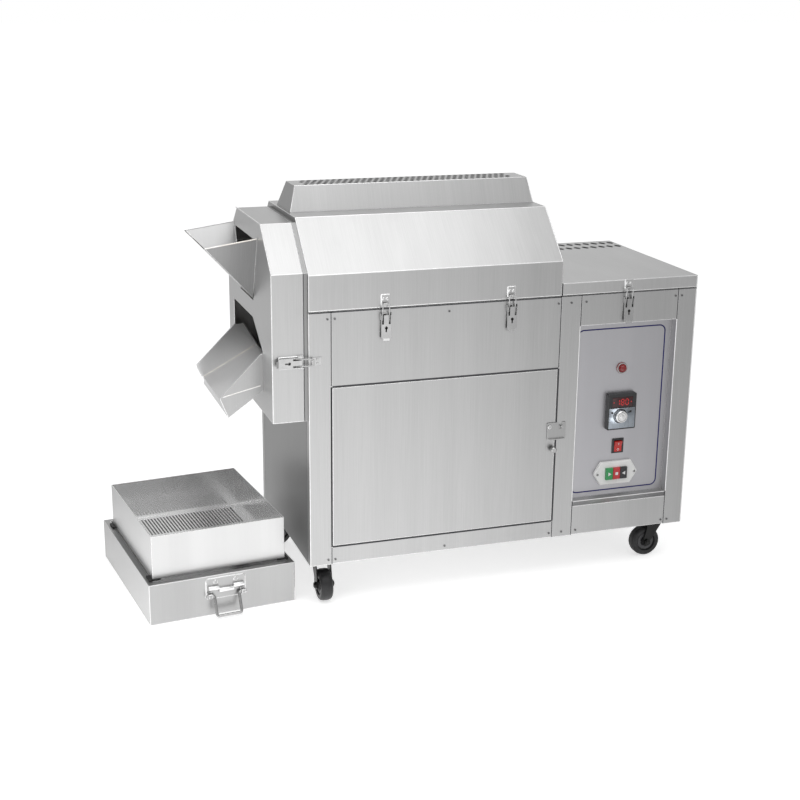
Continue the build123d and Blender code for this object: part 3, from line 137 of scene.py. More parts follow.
class Finish(Nodes):
    """One material."""

    def __init__(self, name):
        self.material = bpy.data.materials.new(name)
        self.material.use_nodes = True
        super().__init__(self.material.node_tree)
        where = self.node("ShaderNodeTexCoord")
        self.spot = where.outputs["Object"]
        self.facing = where.outputs["Normal"]

    def stretched(self, x, y, z):
        """Object coordinates scaled along each axis."""
        return self.node("ShaderNodeMapping", None, {"Vector": self.spot,
                                                     "Scale": (x, y, z)}).outputs[0]

    def noise(self, scale, detail=2.0, vector=None, roughness=0.5):
        return self.number("ShaderNodeTexNoise", "Fac", None, {
            "Vector": vector or self.spot, "Scale": scale, "Detail": detail,
            "Roughness": roughness})

    def inside(self, low, high, turn=0.0, corner=(0.0, 0.0, 0.0)):
        """1 inside a box in millimetres from a corner, turned about the upright axis."""
        fade = 0.2
        moved = self.node("ShaderNodeVectorMath", {"operation": "SUBTRACT"},
                          {0: self.spot, 1: place(*corner)}).outputs[0]
        turned = self.node("ShaderNodeVectorRotate", {"rotation_type": "Z_AXIS"},
                           {"Vector": moved, "Angle": -radians(turn)}).outputs[0]
        split = self.node("ShaderNodeSeparateXYZ", None, {"Vector": turned})
        within = 1.0
        for side, a, b in zip("XYZ", low, high):
            along = Number(self, split.outputs[side])
            within = (along.step(a / 1000, (a + fade) / 1000)
                      * (1.0 - along.step((b - fade) / 1000, b / 1000)) * within)
        return within

    def round_holes(self, first, pitch, rows, columns, shift, reach):
        """1 on a diamond round each hole of a grid in millimetres, each second row shifted."""
        full, clear = 0.65, 1.15  # where the painted shade starts to fade and ends, in shares of reach
        half, fade, skin = 0.5, 0.1, 0.0004
        split = self.node("ShaderNodeSeparateXYZ", None, {"Vector": self.spot})
        corner = place(*first)
        across = (Number(self, split.outputs["X"]) - corner.x) * (1000 / pitch[0])
        back = (Number(self, split.outputs["Y"]) - corner.y) * (1000 / pitch[1])
        row = back.math("ROUND")
        across = across - row.math("FLOORED_MODULO", 2.0) * shift
        column = across.math("ROUND")
        off_x = (across - column).math("ABSOLUTE") * (pitch[0] / reach[0])
        off_y = (back - row).math("ABSOLUTE") * (pitch[1] / reach[1])
        near = 1.0 - (off_x + off_y).step(full, clear)
        for count, line in ((rows, row), (columns, column)):
            last = count - half
            near = (near * line.step(-half - fade, -half + fade)
                    * (1.0 - line.step(last - fade, last + fade)))
        height = Number(self, split.outputs["Z"])
        return near * height.step(corner.z - 2 * skin, corner.z - skin)

    def blend(self, amount, first, second):
        """Colour first where amount is 0, second where it is 1."""
        return self.node("ShaderNodeMix", {"data_type": "RGBA"},
                         {0: amount, 6: first, 7: second}).outputs[2]

    def soft_edges(self, radius):
        """The normal with every edge rounded a little."""
        return self.node("ShaderNodeBevel", {"samples": 6}, {"Radius": radius}).outputs[0]

    def near_edge(self, soft, faint=0.003, full=0.06):
        """How near an edge a point is, from how far the rounded normal leans there."""
        flat = self.node("ShaderNodeNewGeometry").outputs["True Normal"]
        same = self.number("ShaderNodeVectorMath", "Value", {"operation": "DOT_PRODUCT"},
                           {0: soft, 1: flat})
        return (1.0 - same).step(faint, full)

    def bump(self, height, distance, strength, normal=None):
        inputs = {"Height": height, "Distance": distance, "Strength": strength}
        if normal:
            inputs["Normal"] = normal
        return self.node("ShaderNodeBump", None, inputs).outputs[0]

    def surface(self, inputs):
        shader = self.node("ShaderNodeBsdfPrincipled", None, inputs)
        self.node("ShaderNodeOutputMaterial", None, {"Surface": shader.outputs[0]})
        return self.material


def toned(colour, gain, lift=0.0):
    """A colour made lighter or darker, never past white."""
    return [min(1.0, c * gain + lift) for c in colour]


def brushed_sheet(name, tone, roughness, tint=(1.0, 1.0, 1.0), grain=0.05, edges=0.7,
                  fold=0.0022, polished=None, holes=None):
    """Stainless sheet with its grain up the faces, soft rolling bands, handling marks and
    edges painted lighter as a highlight. polished gives a box, its tone and its roughness,
    for a lighter, smoother part, painted light on the cover's end plate; holes gives a grid
    with painted shade round each hole."""
    finish = Finish(name)
    fine, back, up = 1500.0, 14.0, 9.0  # the grain's scale across its lines and along them
    highlight_white, hole_shade_black = [0.97] * 3, [0.012] * 3
    side = finish.number("ShaderNodeSeparateXYZ", "X", None, {"Vector": finish.facing})
    side = side.math("ABSOLUTE").step(0.6, 0.75)
    across = finish.noise(1.0, 3.0, finish.stretched(fine, back, up))
    along = finish.noise(1.0, 3.0, finish.stretched(back, fine, up))
    lines = across * (1.0 - side) + along * side
    bands = finish.noise(1.0, 2.0, finish.stretched(16.0, 5.0, 0.6))
    streaks = finish.noise(1.0, 2.0, finish.stretched(70.0, 20.0, 1.2))
    clouds = finish.noise(5.0, 3.0)
    prints = finish.noise(24.0, 5.0, roughness=0.65).step(0.56, 0.72)
    prints = prints * finish.noise(3.2).step(0.5, 0.62)
    soft = finish.soft_edges(fold)
    edge = finish.near_edge(soft, 0.0015, 0.02)
    rough = (lines - 0.5) * 0.10 + prints * 0.05 + (clouds - 0.5) * 0.06
    mottle = (bands * 0.6 + clouds * 0.2 + streaks * 0.2).step(0.34, 0.66)
    colour = finish.blend(mottle, toned(tint, tone * 0.95), toned(tint, tone * 1.04))
    height = lines
    if polished:
        # lighter and smoother within the box, painted light on the cover's end plate
        lighter_share = finish.inside(*polished["box"])
        height = lines * (1.0 - lighter_share)
        rough = rough * (1.0 - lighter_share * 0.85)
        lighter = toned(tint, polished["tone"])
        colour = finish.blend(lighter_share * (1.0 - mottle * 0.12), colour, lighter)
        rough = rough + (lighter_share * (polished["roughness"] - roughness)) + roughness
    else:
        rough = rough + roughness
    # painted highlight: edges blended towards white by the edge mask, with the grain's lines and
    # a slight lift all over
    grain_and_edge_highlight = ((lines - 0.5) * grain * 4.0 + edge * edges + 0.06).clamped()
    colour = finish.blend(grain_and_edge_highlight, colour, highlight_white)
    if holes:
        # painted shade: a dark diamond round each hole, a little uneven
        hole_shade = finish.round_holes(**holes) * (prints * 0.1 + clouds * 0.3 + 0.8)
        hole_shade = hole_shade.clamped()
        colour = finish.blend(hole_shade, colour, hole_shade_black)
        rough = rough + hole_shade * 0.25
    return finish.surface({"Base Color": colour, "Metallic": 1.0,
                           "Roughness": rough - edge * 0.05,
                           "Normal": finish.bump(height, 0.00004, 0.35, soft)})


def plated(name, tone, roughness):
    """Bright plated or polished steel, a little hazed."""
    finish = Finish(name)
    haze = finish.noise(60.0, 4.0)
    pits = finish.noise(900.0, 2.0)
    soft = finish.soft_edges(0.0004)
    grey = [tone] * 3
    colour = finish.blend(haze.step(0.35, 0.7), toned(grey, 0.9), toned(grey, 1.06))
    rough = (haze - 0.5) * 0.12 + (pits - 0.5) * 0.05 + roughness
    return finish.surface({"Base Color": colour, "Metallic": 1.0, "Roughness": rough,
                           "Normal": finish.bump(pits, 0.00002, 0.4, soft)})


def heated_steel(name, tone, warm):
    """Steel that has been hot: straw and brown clouds over turned lines."""
    finish = Finish(name)
    clouds = finish.noise(9.0, 4.0).step(0.36, 0.66)
    lines = finish.noise(1.0, 2.0, finish.stretched(900.0, 20.0, 20.0))
    soft = finish.soft_edges(0.0008)
    colour = finish.blend(clouds, [tone] * 3, warm)
    # painted highlight: edges lighter
    colour = finish.blend(finish.near_edge(soft) * 0.4, colour, [tone * 1.4] * 3)
    rough = (lines - 0.5) * 0.14 + clouds * 0.12 + 0.34
    return finish.surface({"Base Color": colour, "Metallic": 1.0, "Roughness": rough,
                           "Normal": finish.bump(lines, 0.00005, 0.4, soft)})


def moulded(name, colour, roughness):
    """Moulded plastic with a fine spark texture, dust in the lows and edges painted lighter as a
    highlight.
    """
    finish = Finish(name)
    spark = finish.noise(2600.0, 2.0)
    dust = finish.noise(38.0, 5.0).step(0.5, 0.85)
    soft = finish.soft_edges(0.0005)
    tone = finish.blend(dust, toned(colour, 0.86), colour)
    # painted highlight: edges lighter
    tone = finish.blend(finish.near_edge(soft) * 0.5, tone, toned(colour, 1.25, 0.03))
    rough = (spark - 0.5) * 0.12 + dust * 0.08 + roughness
    return finish.surface({"Base Color": tone, "Roughness": rough,
                           "Normal": finish.bump(spark, 0.00003, 0.6, soft)})


def painted_casting(name, colour):
    """Paint over metal with orange peel and chips at the edges."""
    finish = Finish(name)
    bare_metal = [0.45, 0.44, 0.42]
    peel = finish.noise(420.0, 2.0)
    wear = finish.noise(90.0, 4.0)
    soft = finish.soft_edges(0.001)
    chips = (finish.near_edge(soft) * wear.step(0.45, 0.6)).clamped()
    tone = finish.blend(finish.noise(12.0, 3.0), toned(colour, 0.8), colour)
    tone = finish.blend(chips, tone, bare_metal)
    return finish.surface({"Base Color": tone, "Roughness": (wear - 0.5) * 0.15 + 0.42,
                           "Metallic": chips,
                           "Normal": finish.bump(peel, 0.0002, 0.4, soft)})


def rubbery(name, colour, roughness):
    """Solid rubber: scuffed, with pale dust on the tread."""
    finish = Finish(name)
    scuff = finish.noise(70.0, 6.0, roughness=0.7)
    grit = finish.noise(900.0, 2.0)
    tone = finish.blend(scuff.step(0.5, 0.8), colour, toned(colour, 2.2, 0.03))
    rough = (scuff - 0.5) * 0.25 + roughness
    return finish.surface({"Base Color": tone, "Roughness": rough,
                           "Normal": finish.bump(grit + scuff * 0.5, 0.0001, 0.5)})


def fibre_board(name):
    """Pressed ceramic fibre."""
    finish = Finish(name)
    felt = finish.noise(500.0, 6.0, roughness=0.75)
    patch = finish.noise(14.0, 3.0)
    tone = finish.blend(patch, [0.80, 0.77, 0.70], [0.90, 0.88, 0.83])
    return finish.surface({"Base Color": tone, "Roughness": (felt - 0.5) * 0.1 + 0.9,
                           "Normal": finish.bump(felt, 0.0006, 0.7)})


def clear_red(name, colour, glow):
    """Translucent red lens over a dim lamp."""
    finish = Finish(name)
    ribs = finish.noise(160.0, 2.0)
    tone = finish.blend(ribs, toned(colour, 0.7), colour)
    return finish.surface({"Base Color": tone, "Roughness": (ribs - 0.5) * 0.06 + 0.10,
                           "Emission Color": tone, "Emission Strength": glow,
                           "Normal": finish.bump(ribs, 0.00004, 0.3)})


def printed(name, colour, roughness=0.4):
    """Printed ink, very slightly uneven."""
    finish = Finish(name)
    screen = finish.noise(700.0, 2.0)
    tone = finish.blend(screen, toned(colour, 0.85), toned(colour, 1.1))
    return finish.surface({"Base Color": tone, "Roughness": (screen - 0.5) * 0.1 + roughness,
                           "Normal": finish.bump(screen, 0.00002, 0.3)})


# Finishes by slot, for every slot with a node that has none of its own below

finishes = {
    "sheet": brushed_sheet("brushed stainless", 0.37, 0.36),
    "inner_sheet": brushed_sheet("dull stainless", 0.36, 0.44),
    "drum_steel": heated_steel("drum steel", 0.50, [0.42, 0.34, 0.24]),
    "heater": heated_steel("heater sheath", 0.26, [0.20, 0.15, 0.12]),
    "fibre": fibre_board("fibre board"),
    "panel": brushed_sheet("panel sheet", 0.38, 0.40, tint=(1.0, 0.99, 1.04), grain=0.01),
    "lens_red": clear_red("pilot lens", [0.26, 0.012, 0.014], 0.06),
    "black": moulded("black moulding", [0.018, 0.018, 0.021], 0.34),
    "rocker_red": clear_red("rocker lens", [0.52, 0.02, 0.016], 0.20),
    "knob_silver": plated("knob metal", 0.72, 0.24),
    "station": moulded("pale moulding", [0.96, 0.96, 0.95], 0.30),
    "green": moulded("green moulding", [0.03, 0.34, 0.10], 0.30),
    "dark": moulded("dark moulding", [0.018, 0.018, 0.022], 0.30),
    "red": moulded("red moulding", [0.60, 0.035, 0.04], 0.30),
    "gear": moulded("grey housings", [0.62, 0.62, 0.58], 0.45),
    "motor": painted_casting("motor paint", [0.09, 0.16, 0.22]),
    "cast": painted_casting("bearing casting", [0.10, 0.11, 0.12]),
    "shaft": plated("turned steel", 0.55, 0.30),
    "roller": plated("ground steel", 0.50, 0.26),
    "chrome": plated("plated fittings", 0.40, 0.22),
    "zinc": plated("black zinc", 0.035, 0.38),
    "wheel": rubbery("wheel rubber", [0.006, 0.006, 0.007], 0.50),
    "pad": rubbery("pad rubber", [0.016, 0.016, 0.016], 0.6),
}

# Sheets with a finish of their own, and the boxes within which they are lighter and smoother

# painted light: the cover's end plate lighter, for the lamp that falls on it
cover_plate = {"box": ((-69.0, 0.0, 290.0), (-66.5, 380.0, 660.0)), "tone": 0.50,
               "roughness": 0.32}
sieve_inside = {"box": ((13.6, 21.6, 85.6), (275.4, 328.4, 200.0), tray_turn, tray_corner),
                "tone": 0.84, "roughness": 0.20}
tray_inside = {"box": ((0.6, 0.6, 0.6), (288.4, 360.4, 80.4), tray_turn, tray_corner),
               "tone": 0.66, "roughness": 0.24}
hopper_inside = {"box": ((-220.0, 190.0, 380.0), (20.0, 330.0, 660.0)), "tone": 0.70,
                 "roughness": 0.30}
chute_inside = {"box": ((-200.0, 84.0, 250.0), (20.0, 320.6, 460.0)), "tone": 0.76,
                "roughness": 0.28}
own_finishes = {
    # painted shade: the side panels a darker tone of the stainless, for the shade on them
    "side_panels": brushed_sheet("side stainless", 0.26, 0.40),
    "end_cover": brushed_sheet("cover stainless", 0.37, 0.36, polished=cover_plate),
    "vent_box": brushed_sheet("vent stainless", 0.37, 0.36, edges=0.5,
                              holes={**vent_holes, "reach": (6.0, 9.5)}),
    "control_lid": brushed_sheet("lid stainless", 0.42, 0.36, edges=0.5,
                                 holes={**lid_slots, "reach": (9.0, 15.0)}),
    "turn_catch": brushed_sheet("catch stainless", 0.30, 0.34, fold=0.0008, edges=0.3),
    # painted shade: the left end wall darker, for the shade on it
    "left_end_wall": brushed_sheet("end wall stainless", 0.20, 0.40, edges=0.5, fold=0.0012),
    "sieve_tray": brushed_sheet("sieve stainless", 0.50, 0.32, grain=0.02, fold=0.0011,
                                polished=sieve_inside),
    "lower_tray": brushed_sheet("tray stainless", 0.32, 0.34, grain=0.02,
                                polished=tray_inside),
    # painted shade: the hopper's outside darker, for the shade on it
    "feed_hopper": brushed_sheet("hopper stainless", 0.19, 0.32, grain=0.03,
                                 polished=hopper_inside),
    "discharge_chute": brushed_sheet("chute stainless", 0.31, 0.32, grain=0.03,
                                     polished=chute_inside),
    "panel_screws": plated("screw heads", 0.22, 0.30),
}
for subpart in frame["record"]["subparts"]:
    name = subpart["node"]
    node = frame["nodes"][name]
    node.data.materials.clear()
    node.data.materials.append(own_finishes.get(name) or finishes[subpart["material_slot"]])

border_ink = printed("border ink", [0.012, 0.010, 0.11], 0.55)
white_ink = printed("white ink", [0.80, 0.80, 0.80])
dark_ink = printed("dark ink", [0.02, 0.02, 0.025])
joint_shadow = printed("shadow in the joints", [0.045, 0.045, 0.05], 0.6)
# painted shade: black for the walls of the vent holes
hole_wall_shade = printed("painted shade in the vent holes", [0.012, 0.012, 0.013], 0.7)
window_red = clear_red("display window", [0.05, 0.004, 0.006], 0.0)
digit_red = clear_red("display digits", [0.55, 0.02, 0.02], 0.55)
face_blue = brushed_sheet("controller face", 0.62, 0.34, tint=(0.80, 0.93, 1.08), grain=0.01,
                          edges=0.2)
hub_grey = moulded("hub moulding", [0.09, 0.09, 0.095], 0.42)
weld_steel = heated_steel("weld bead", 0.80, [0.72, 0.68, 0.62])
# painted highlight: a light tone for the bends
fold_highlight_steel = plated("folds painted light", 0.78, 0.34)
# painted highlight: a near-white tone for the barrels
handle_steel = plated("handle plate", 0.90, 0.42)
brass = plated("brass screws", 0.30, 0.30)


# Pieces: primitives shaped in edit mode

smooth_below, bevel_above = radians(30), radians(40)


def pick(piece=None):
    """Select one piece alone and make it the active one, or select nothing."""
    bpy.ops.object.select_all(action="DESELECT")
    if piece:
        piece.select_set(True)
        bpy.context.view_layer.objects.active = piece


def settle(piece, name, body, material):
    """Name a finished piece, put its place in its mesh, and hang it on its body."""
    pick(piece)
    bpy.ops.object.transform_apply(location=True, rotation=True, scale=True)
    bpy.ops.object.shade_smooth_by_angle(angle=smooth_below)
    piece.name = name
    piece.data.materials.clear()
    piece.data.materials.append(material)
    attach(piece, body)
    return piece


def edit_all():
    """Go into edit mode with the whole mesh selected."""
    bpy.ops.object.mode_set(mode="EDIT")
    bpy.ops.mesh.select_all(action="SELECT")


def edit_some(kind, parts, wanted):
    """Go into edit mode with those edges or faces selected that are wanted."""
    bpy.ops.object.mode_set(mode="EDIT")
    bpy.ops.mesh.select_mode(type=kind)
    bpy.ops.mesh.select_all(action="DESELECT")
    bpy.ops.object.mode_set(mode="OBJECT")
    for part in parts:
        part.select = wanted(part)
    bpy.ops.object.mode_set(mode="EDIT")


def block(low, high, bevel=0.0, turn=0.0):
    """A box between two corners in cabinet millimetres, its edges rounded."""
    pick()
    a, b = place(*low), place(*high)
    bpy.ops.mesh.primitive_cube_add(size=1.0, location=(a + b) / 2, rotation=(0, 0, turn))
    piece = bpy.context.object
    piece.scale = b - a
    bpy.ops.object.transform_apply(location=False, rotation=False, scale=True)
    if bevel:
        edit_all()
        bpy.ops.mesh.bevel(offset=bevel / 1000, segments=2, affect="EDGES")
        bpy.ops.object.mode_set(mode="OBJECT")
    return piece


def bar(start, end, radius, sides=16, bevel=0.0):
    """A round bar between two points in cabinet millimetres, its ends softened."""
    pick()
    a, b = place(*start), place(*end)
    turn = (b - a).to_track_quat("Z", "Y").to_euler()
    bpy.ops.mesh.primitive_cylinder_add(vertices=sides, radius=radius / 1000,
                                        depth=(b - a).length, location=(a + b) / 2,
                                        rotation=turn)
    piece = bpy.context.object
    if bevel:
        soft = piece.modifiers.new("rim", "BEVEL")
        soft.width = bevel / 1000
        soft.segments = 2
        soft.limit_method = "ANGLE"
        soft.angle_limit = bevel_above
        bpy.ops.object.modifier_apply(modifier="rim")
    return piece


def ring(centre, axis, radius, thickness, sides=48, flat=1.0):
    """A ring round an axis; flat squeezes it along that axis."""
    pick()
    turn = Vector(axis).to_track_quat("Z", "Y").to_euler()
    bpy.ops.mesh.primitive_torus_add(major_radius=radius / 1000, minor_radius=thickness / 1000,
                                     major_segments=sides, minor_segments=8,
                                     location=place(*centre), rotation=turn)
    piece = bpy.context.object
    piece.scale = (1, 1, flat)
    return piece


def run(points, radius, sides):
    """A wire along points in cabinet millimetres: a circle pulled from one to the next."""
    pick()
    spots = [place(*point) for point in points]
    turn = (spots[1] - spots[0]).to_track_quat("Z", "Y").to_euler()
    bpy.ops.mesh.primitive_circle_add(vertices=sides, radius=radius / 1000, location=spots[0],
                                      rotation=turn, fill_type="NGON")
    edit_all()
    for a, b in zip(spots, spots[1:]):
        bpy.ops.mesh.extrude_region_move(TRANSFORM_OT_translate={"value": b - a})
    bpy.ops.mesh.select_all(action="SELECT")
    bpy.ops.mesh.normals_make_consistent(inside=False)
    bpy.ops.object.mode_set(mode="OBJECT")
    return bpy.context.object


def together(pieces):
    """Several pieces made into one mesh."""
    for piece in pieces:
        pick(piece)
        bpy.ops.object.transform_apply(location=True, rotation=True, scale=True)
    for piece in pieces:
        piece.select_set(True)
    bpy.context.view_layer.objects.active = pieces[0]
    bpy.ops.object.join()
    return bpy.context.object


def repeated(piece, steps):
    """The piece and a copy of it at each step in millimetres, made into one mesh."""
    copies = [piece]
    for step in steps:
        pick(piece)
        bpy.ops.object.duplicate()
        bpy.ops.transform.translate(value=Vector(step) / 1000)
        copies.append(bpy.context.object)
    return together(copies)


def cut_corners(piece, axis, offset):
    """Cut the corners along the edges that run along one axis, 0, 1 or 2."""
    spots, nearly = piece.data.vertices, 0.99

    def runs_along(edge):
        reach = spots[edge.vertices[1]].co - spots[edge.vertices[0]].co
        return abs(reach[axis]) > nearly * reach.length

    edit_some("EDGE", piece.data.edges, runs_along)
    bpy.ops.mesh.bevel(offset=offset / 1000, segments=1)
    bpy.ops.object.mode_set(mode="OBJECT")
    return piece


# Joints between the sheets: dark lines a hair proud of them, painted shadow in the bends

line_proud, line_deep, line_soft = 0.12, 0.4, 0.08


def front_line(x0, x1, z0, z1):
    """A dark line on the cabinet's front face."""
    return block((x0, -line_proud, z0), (x1, line_deep, z1), bevel=line_soft)


def panel_joints():
    """The lines in the bends where two sheets of the cabinet meet."""
    half_post, half_side = 0.9, 0.7
    beside_door, beside_panel = ((0.5, 35.0), (357.5, 500.0)), ((0.5, 73.0), (438.0, 500.0))
    lines = []
    for x, spans in ((43.0, beside_door), (505.0, beside_door), (548.0, beside_panel),
                     (759.0, beside_panel)):
        for z0, z1 in spans:
            lines.append(front_line(x - half_post, x + half_post, z0, z1))
    for x0, x1, z0, z1 in ((0.4, 505.0, 497.4, 499.9), (505.8, 799.6, 498.4, 499.9),
                           (45.0, 503.6, 354.5, 358.0), (45.0, 503.6, 34.4, 37.2)):
        lines.append(front_line(x0, x1, z0, z1))
    for x0, x1 in ((41.5, 43.2), (503.9, 506.6)):
        lines.append(front_line(x0, x1, 36.0, 356.0))
    for y in (20.0, 370.0):
        lines.append(block((-line_proud, y - half_side, 0.5), (line_deep, y + half_side, 292.0),
                           bevel=line_soft))
    lines.append(block((-8.2, 3.88, 294.0), (-7.0, 4.3, 572.0), bevel=line_soft))
    settle(together(lines), "panel_joints", "cabinet", joint_shadow)


def lid_joint():
    """The line down the lid's left edge, where it meets the hood."""
    settle(front_line(506.1, 507.3, 501.4, 525.0), "lid_joint", "lid", joint_shadow)


# Folds: the outer radius of each bend, in a light plated tone as a painted highlight

def folds(name, body, bends):
    """Slim bars of 1 mm radius along the bends, a fifth to a quarter of it proud."""
    bars = [bar(start, end, 1.0, 12) for start, end in bends]
    settle(together(bars), name, body, fold_highlight_steel)


def all_folds():
    """The bends of the hood, the end cover, the lid and the posts, each by its two ends."""
    front = 0.8
    left, right, foot, brow, crest, vent_top = 1.2, 504.2, 502.3, 568.6, 659.2, 706.9
    folds("hood_folds", "hood", [
        ((left, 0.75, brow), (right, 0.75, brow)), ((left, 92.4, crest), (right, 92.4, crest)),
        ((left, front, foot), (right, front, foot)), ((left, front, foot), (left, front, brow)),
        ((left, front, brow), (left, 92.4, crest)), ((right, front, brow), (right, 92.4, crest)),
        ((19.8, 166.8, vent_top), (493.2, 166.8, vent_top)),
        ((6.0, 147.2, 661.0), (19.8, 166.8, vent_top)),
        ((501.0, 147.2, 661.0), (493.2, 166.8, vent_top))])
    end, inner, face, low, high = -67.2, -9.4, 4.8, 572.7, 651.2
    folds("cover_folds", "cover", [
        ((end, face, 294.2), (end, face, low)), ((end, face, low), (end, 84.2, high)),
        ((end, 84.2, high), (end, 291.4, high)), ((end, face, low), (inner, face, low)),
        ((end, 84.2, high), (inner, 84.2, high))])
    far, lip = 798.9, 524.4
    folds("lid_folds", "lid", [
        ((508.0, front, lip), (798.8, front, lip)), ((508.0, front, foot), (798.8, front, foot)),
        ((far, front, foot), (far, front, lip))])
    folds("post_folds", "cabinet", [
        ((0.8, front, 1.2), (0.8, front, 498.0)), ((far, front, 1.2), (far, front, 498.0)),
        ((759.8, front, 74.0), (759.8, front, 437.0)),
        ((547.2, front, 74.0), (547.2, front, 437.0)),
        ((549.4, front, 72.2), (757.6, front, 72.2))])


# Vents: the walls of the cut holes, black as painted shade

hole_depth = 1.3


def hole_wall(centre, size, clip, turn=0.0):
    """An open sleeve that lines a hole with clipped corners."""
    x, y, z = centre
    clear, sunk = 0.05, 0.04
    half_x, half_y = size[0] / 2 - clear, size[1] / 2 - clear
    sleeve = block((x - half_x, y - half_y, z - hole_depth), (x + half_x, y + half_y, z - sunk),
                   turn=turn)
    edit_some("FACE", sleeve.data.polygons, lambda face: abs(face.normal.z) > 0.9)
    bpy.ops.mesh.delete(type="FACE")
    bpy.ops.object.mode_set(mode="OBJECT")
    if clip:
        cut_corners(sleeve, 2, clip)
    wall = sleeve.modifiers.new("wall", "SOLIDIFY")
    wall.thickness = 0.0004
    wall.offset = -1.0
    bpy.ops.object.modifier_apply(modifier="wall")
    return sleeve


def vent_walls():
    """Square holes standing on a corner, each second row half a pitch over."""
    across, back = vent_holes["pitch"]
    hole = hole_wall(vent_holes["first"], (5.6, 5.6), 0.0, turn=pi / 4)
    steps = [((column + vent_holes["shift"] * (row % 2)) * across, back * row, 0.0)
             for row in range(vent_holes["rows"]) for column in range(vent_holes["columns"])
             if row or column]
    settle(repeated(hole, steps), "vent_hole_walls", "hood", hole_wall_shade)


def lid_slot_walls():
    """Small and large slots take turns, from the right end of the back row."""
    x, y, z = lid_slots["first"]
    across, back = lid_slots["pitch"]
    rows, columns = lid_slots["rows"], lid_slots["columns"]
    spots = ([], [])
    for row in range(rows):
        for column in range(columns):
            spots[(row + column) % 2].append((x + across * (columns - 1 - column),
                                              y + back * (rows - 1 - row), z))
    walls = []
    for centres, size, clip in ((spots[0], (8.0, 4.5), 1.35), (spots[1], (12.0, 6.0), 1.8)):
        first = Vector(centres[0])
        walls.append(repeated(hole_wall(first, size, clip),
                              [Vector(centre) - first for centre in centres[1:]]))
    settle(together(walls), "lid_slot_walls", "lid", hole_wall_shade)


# Control panel

def panel_border():
    """The rounded line round the control panel."""
    x0, x1, z0, z1 = 552.0, 747.0, 81.5, 424.5
    corner_radius, line_width, ink_depth = 0.014, 0.0028, 0.00009
    pick()
    centre = place((x0 + x1) / 2, panel_y - 0.1, (z0 + z1) / 2)
    bpy.ops.mesh.primitive_plane_add(size=1.0, location=centre, rotation=(pi / 2, 0, 0))
    piece = bpy.context.object
    piece.scale = ((x1 - x0) / 1000, (z1 - z0) / 1000, 1)
    bpy.ops.object.transform_apply(location=False, rotation=False, scale=True)
    edit_all()
    bpy.ops.mesh.bevel(offset=corner_radius, segments=8, affect="VERTICES")
    bpy.ops.mesh.select_all(action="SELECT")
    bpy.ops.mesh.inset(thickness=line_width)
    bpy.ops.mesh.delete(type="FACE")
    bpy.ops.mesh.select_all(action="SELECT")
    bpy.ops.mesh.extrude_region_move(TRANSFORM_OT_translate={"value": (0, ink_depth, 0)})
    bpy.ops.mesh.select_all(action="SELECT")
    bpy.ops.mesh.normals_make_consistent(inside=False)
    bpy.ops.object.mode_set(mode="OBJECT")
    settle(piece, "panel_border", "cabinet", border_ink)


def digit_stroke(x, z, name):
    """One lit stroke, pointed at both ends, of a digit whose lower left corner is at x, z."""
    width, half = 6.0, 6.0
    thick, gap, front, back = 0.75, 0.6, 8.03, 8.15
    upright = {"f": (0, half), "e": (0, 0), "b": (width, half), "c": (width, 0)}
    level = {"a": 2 * half, "g": half, "d": 0}
    if name in upright:
        dx, dz = upright[name]
        low, high = (x + dx - thick, z + dz + gap), (x + dx + thick, z + dz + half - gap)
    else:
        up = z + level[name]
        low, high = (x + gap, up - thick), (x + width - gap, up + thick)
    stroke = block((low[0], front, low[1]), (high[0], back, high[1]))
    return cut_corners(stroke, 1, thick * 0.98)


def display():
    """The window, three plain digits and a lamp on either side of them."""
    half_width, foot, top, lamp_z = 22.6, 261.2, 281.8, 271.5
    first_digit, digit_pitch, digit_foot = control_x - 13.0, 10.0, 265.5
    window = block((control_x - half_width, 8.2, foot), (control_x + half_width, 9.0, top),
                   bevel=0.2)
    settle(window, "display_window", "cabinet", window_red)
    strokes = []
    for count, lit in enumerate(("bc", "abcdefg", "abcdef")):
        for stroke in lit:
            strokes.append(digit_stroke(first_digit + digit_pitch * count, digit_foot, stroke))
    settle(together(strokes), "display_digits", "cabinet", digit_red)
    lamps = [bar((x, 7.9, lamp_z), (x, 8.3, lamp_z), 1.1)
             for x in (control_x - 19.0, control_x + 19.6)]
    settle(together(lamps), "display_lamps", "cabinet", digit_red)


def controller_face():
    """The blue face with its two screws, the dial's ring and ticks, and the knob's trim."""
    face = block((624.6, 7.72, 217.0), (682.4, 8.1, 259.0), bevel=0.1)
    settle(face, "controller_face", "cabinet", face_blue)
    screw_z = 251.0
    screws = [bar((x, 7.0, screw_z), (x, 7.8, screw_z), 2.3, 20, bevel=0.25)
              for x in (631.0, 672.5)]
    settle(together(screws), "controller_screws", "cabinet", finishes["black"])
    x, z, front = 649.5, 243.0, (0, 1, 0)
    dial = ring((x, 7.62, z), front, 14.2, 1.1, flat=0.12)
    settle(dial, "dial_ring", "cabinet", dark_ink)
    first_tick, tick_pitch, tick_count, tick_start, tick_end = 225, 27, 11, 15.6, 17.8
    ticks = []
    for step in range(tick_count):
        angle = radians(first_tick - tick_pitch * step)
        dx, dz = cos(angle), sin(angle)
        ticks.append(bar((x + tick_start * dx, 7.66, z + tick_start * dz),
                         (x + tick_end * dx, 7.66, z + tick_end * dz), 0.22, 6))
    settle(together(ticks), "dial_ticks", "cabinet", dark_ink)
    rim = ring((x, -1.2, z), front, 9.2, 0.8)
    settle(rim, "knob_rim", "knob", finishes["chrome"])
    hub = bar((x, -1.3, z), (x, -2.4, z), 5.0, 32, bevel=0.4)
    settle(hub, "knob_hub", "knob", finishes["knob_silver"])


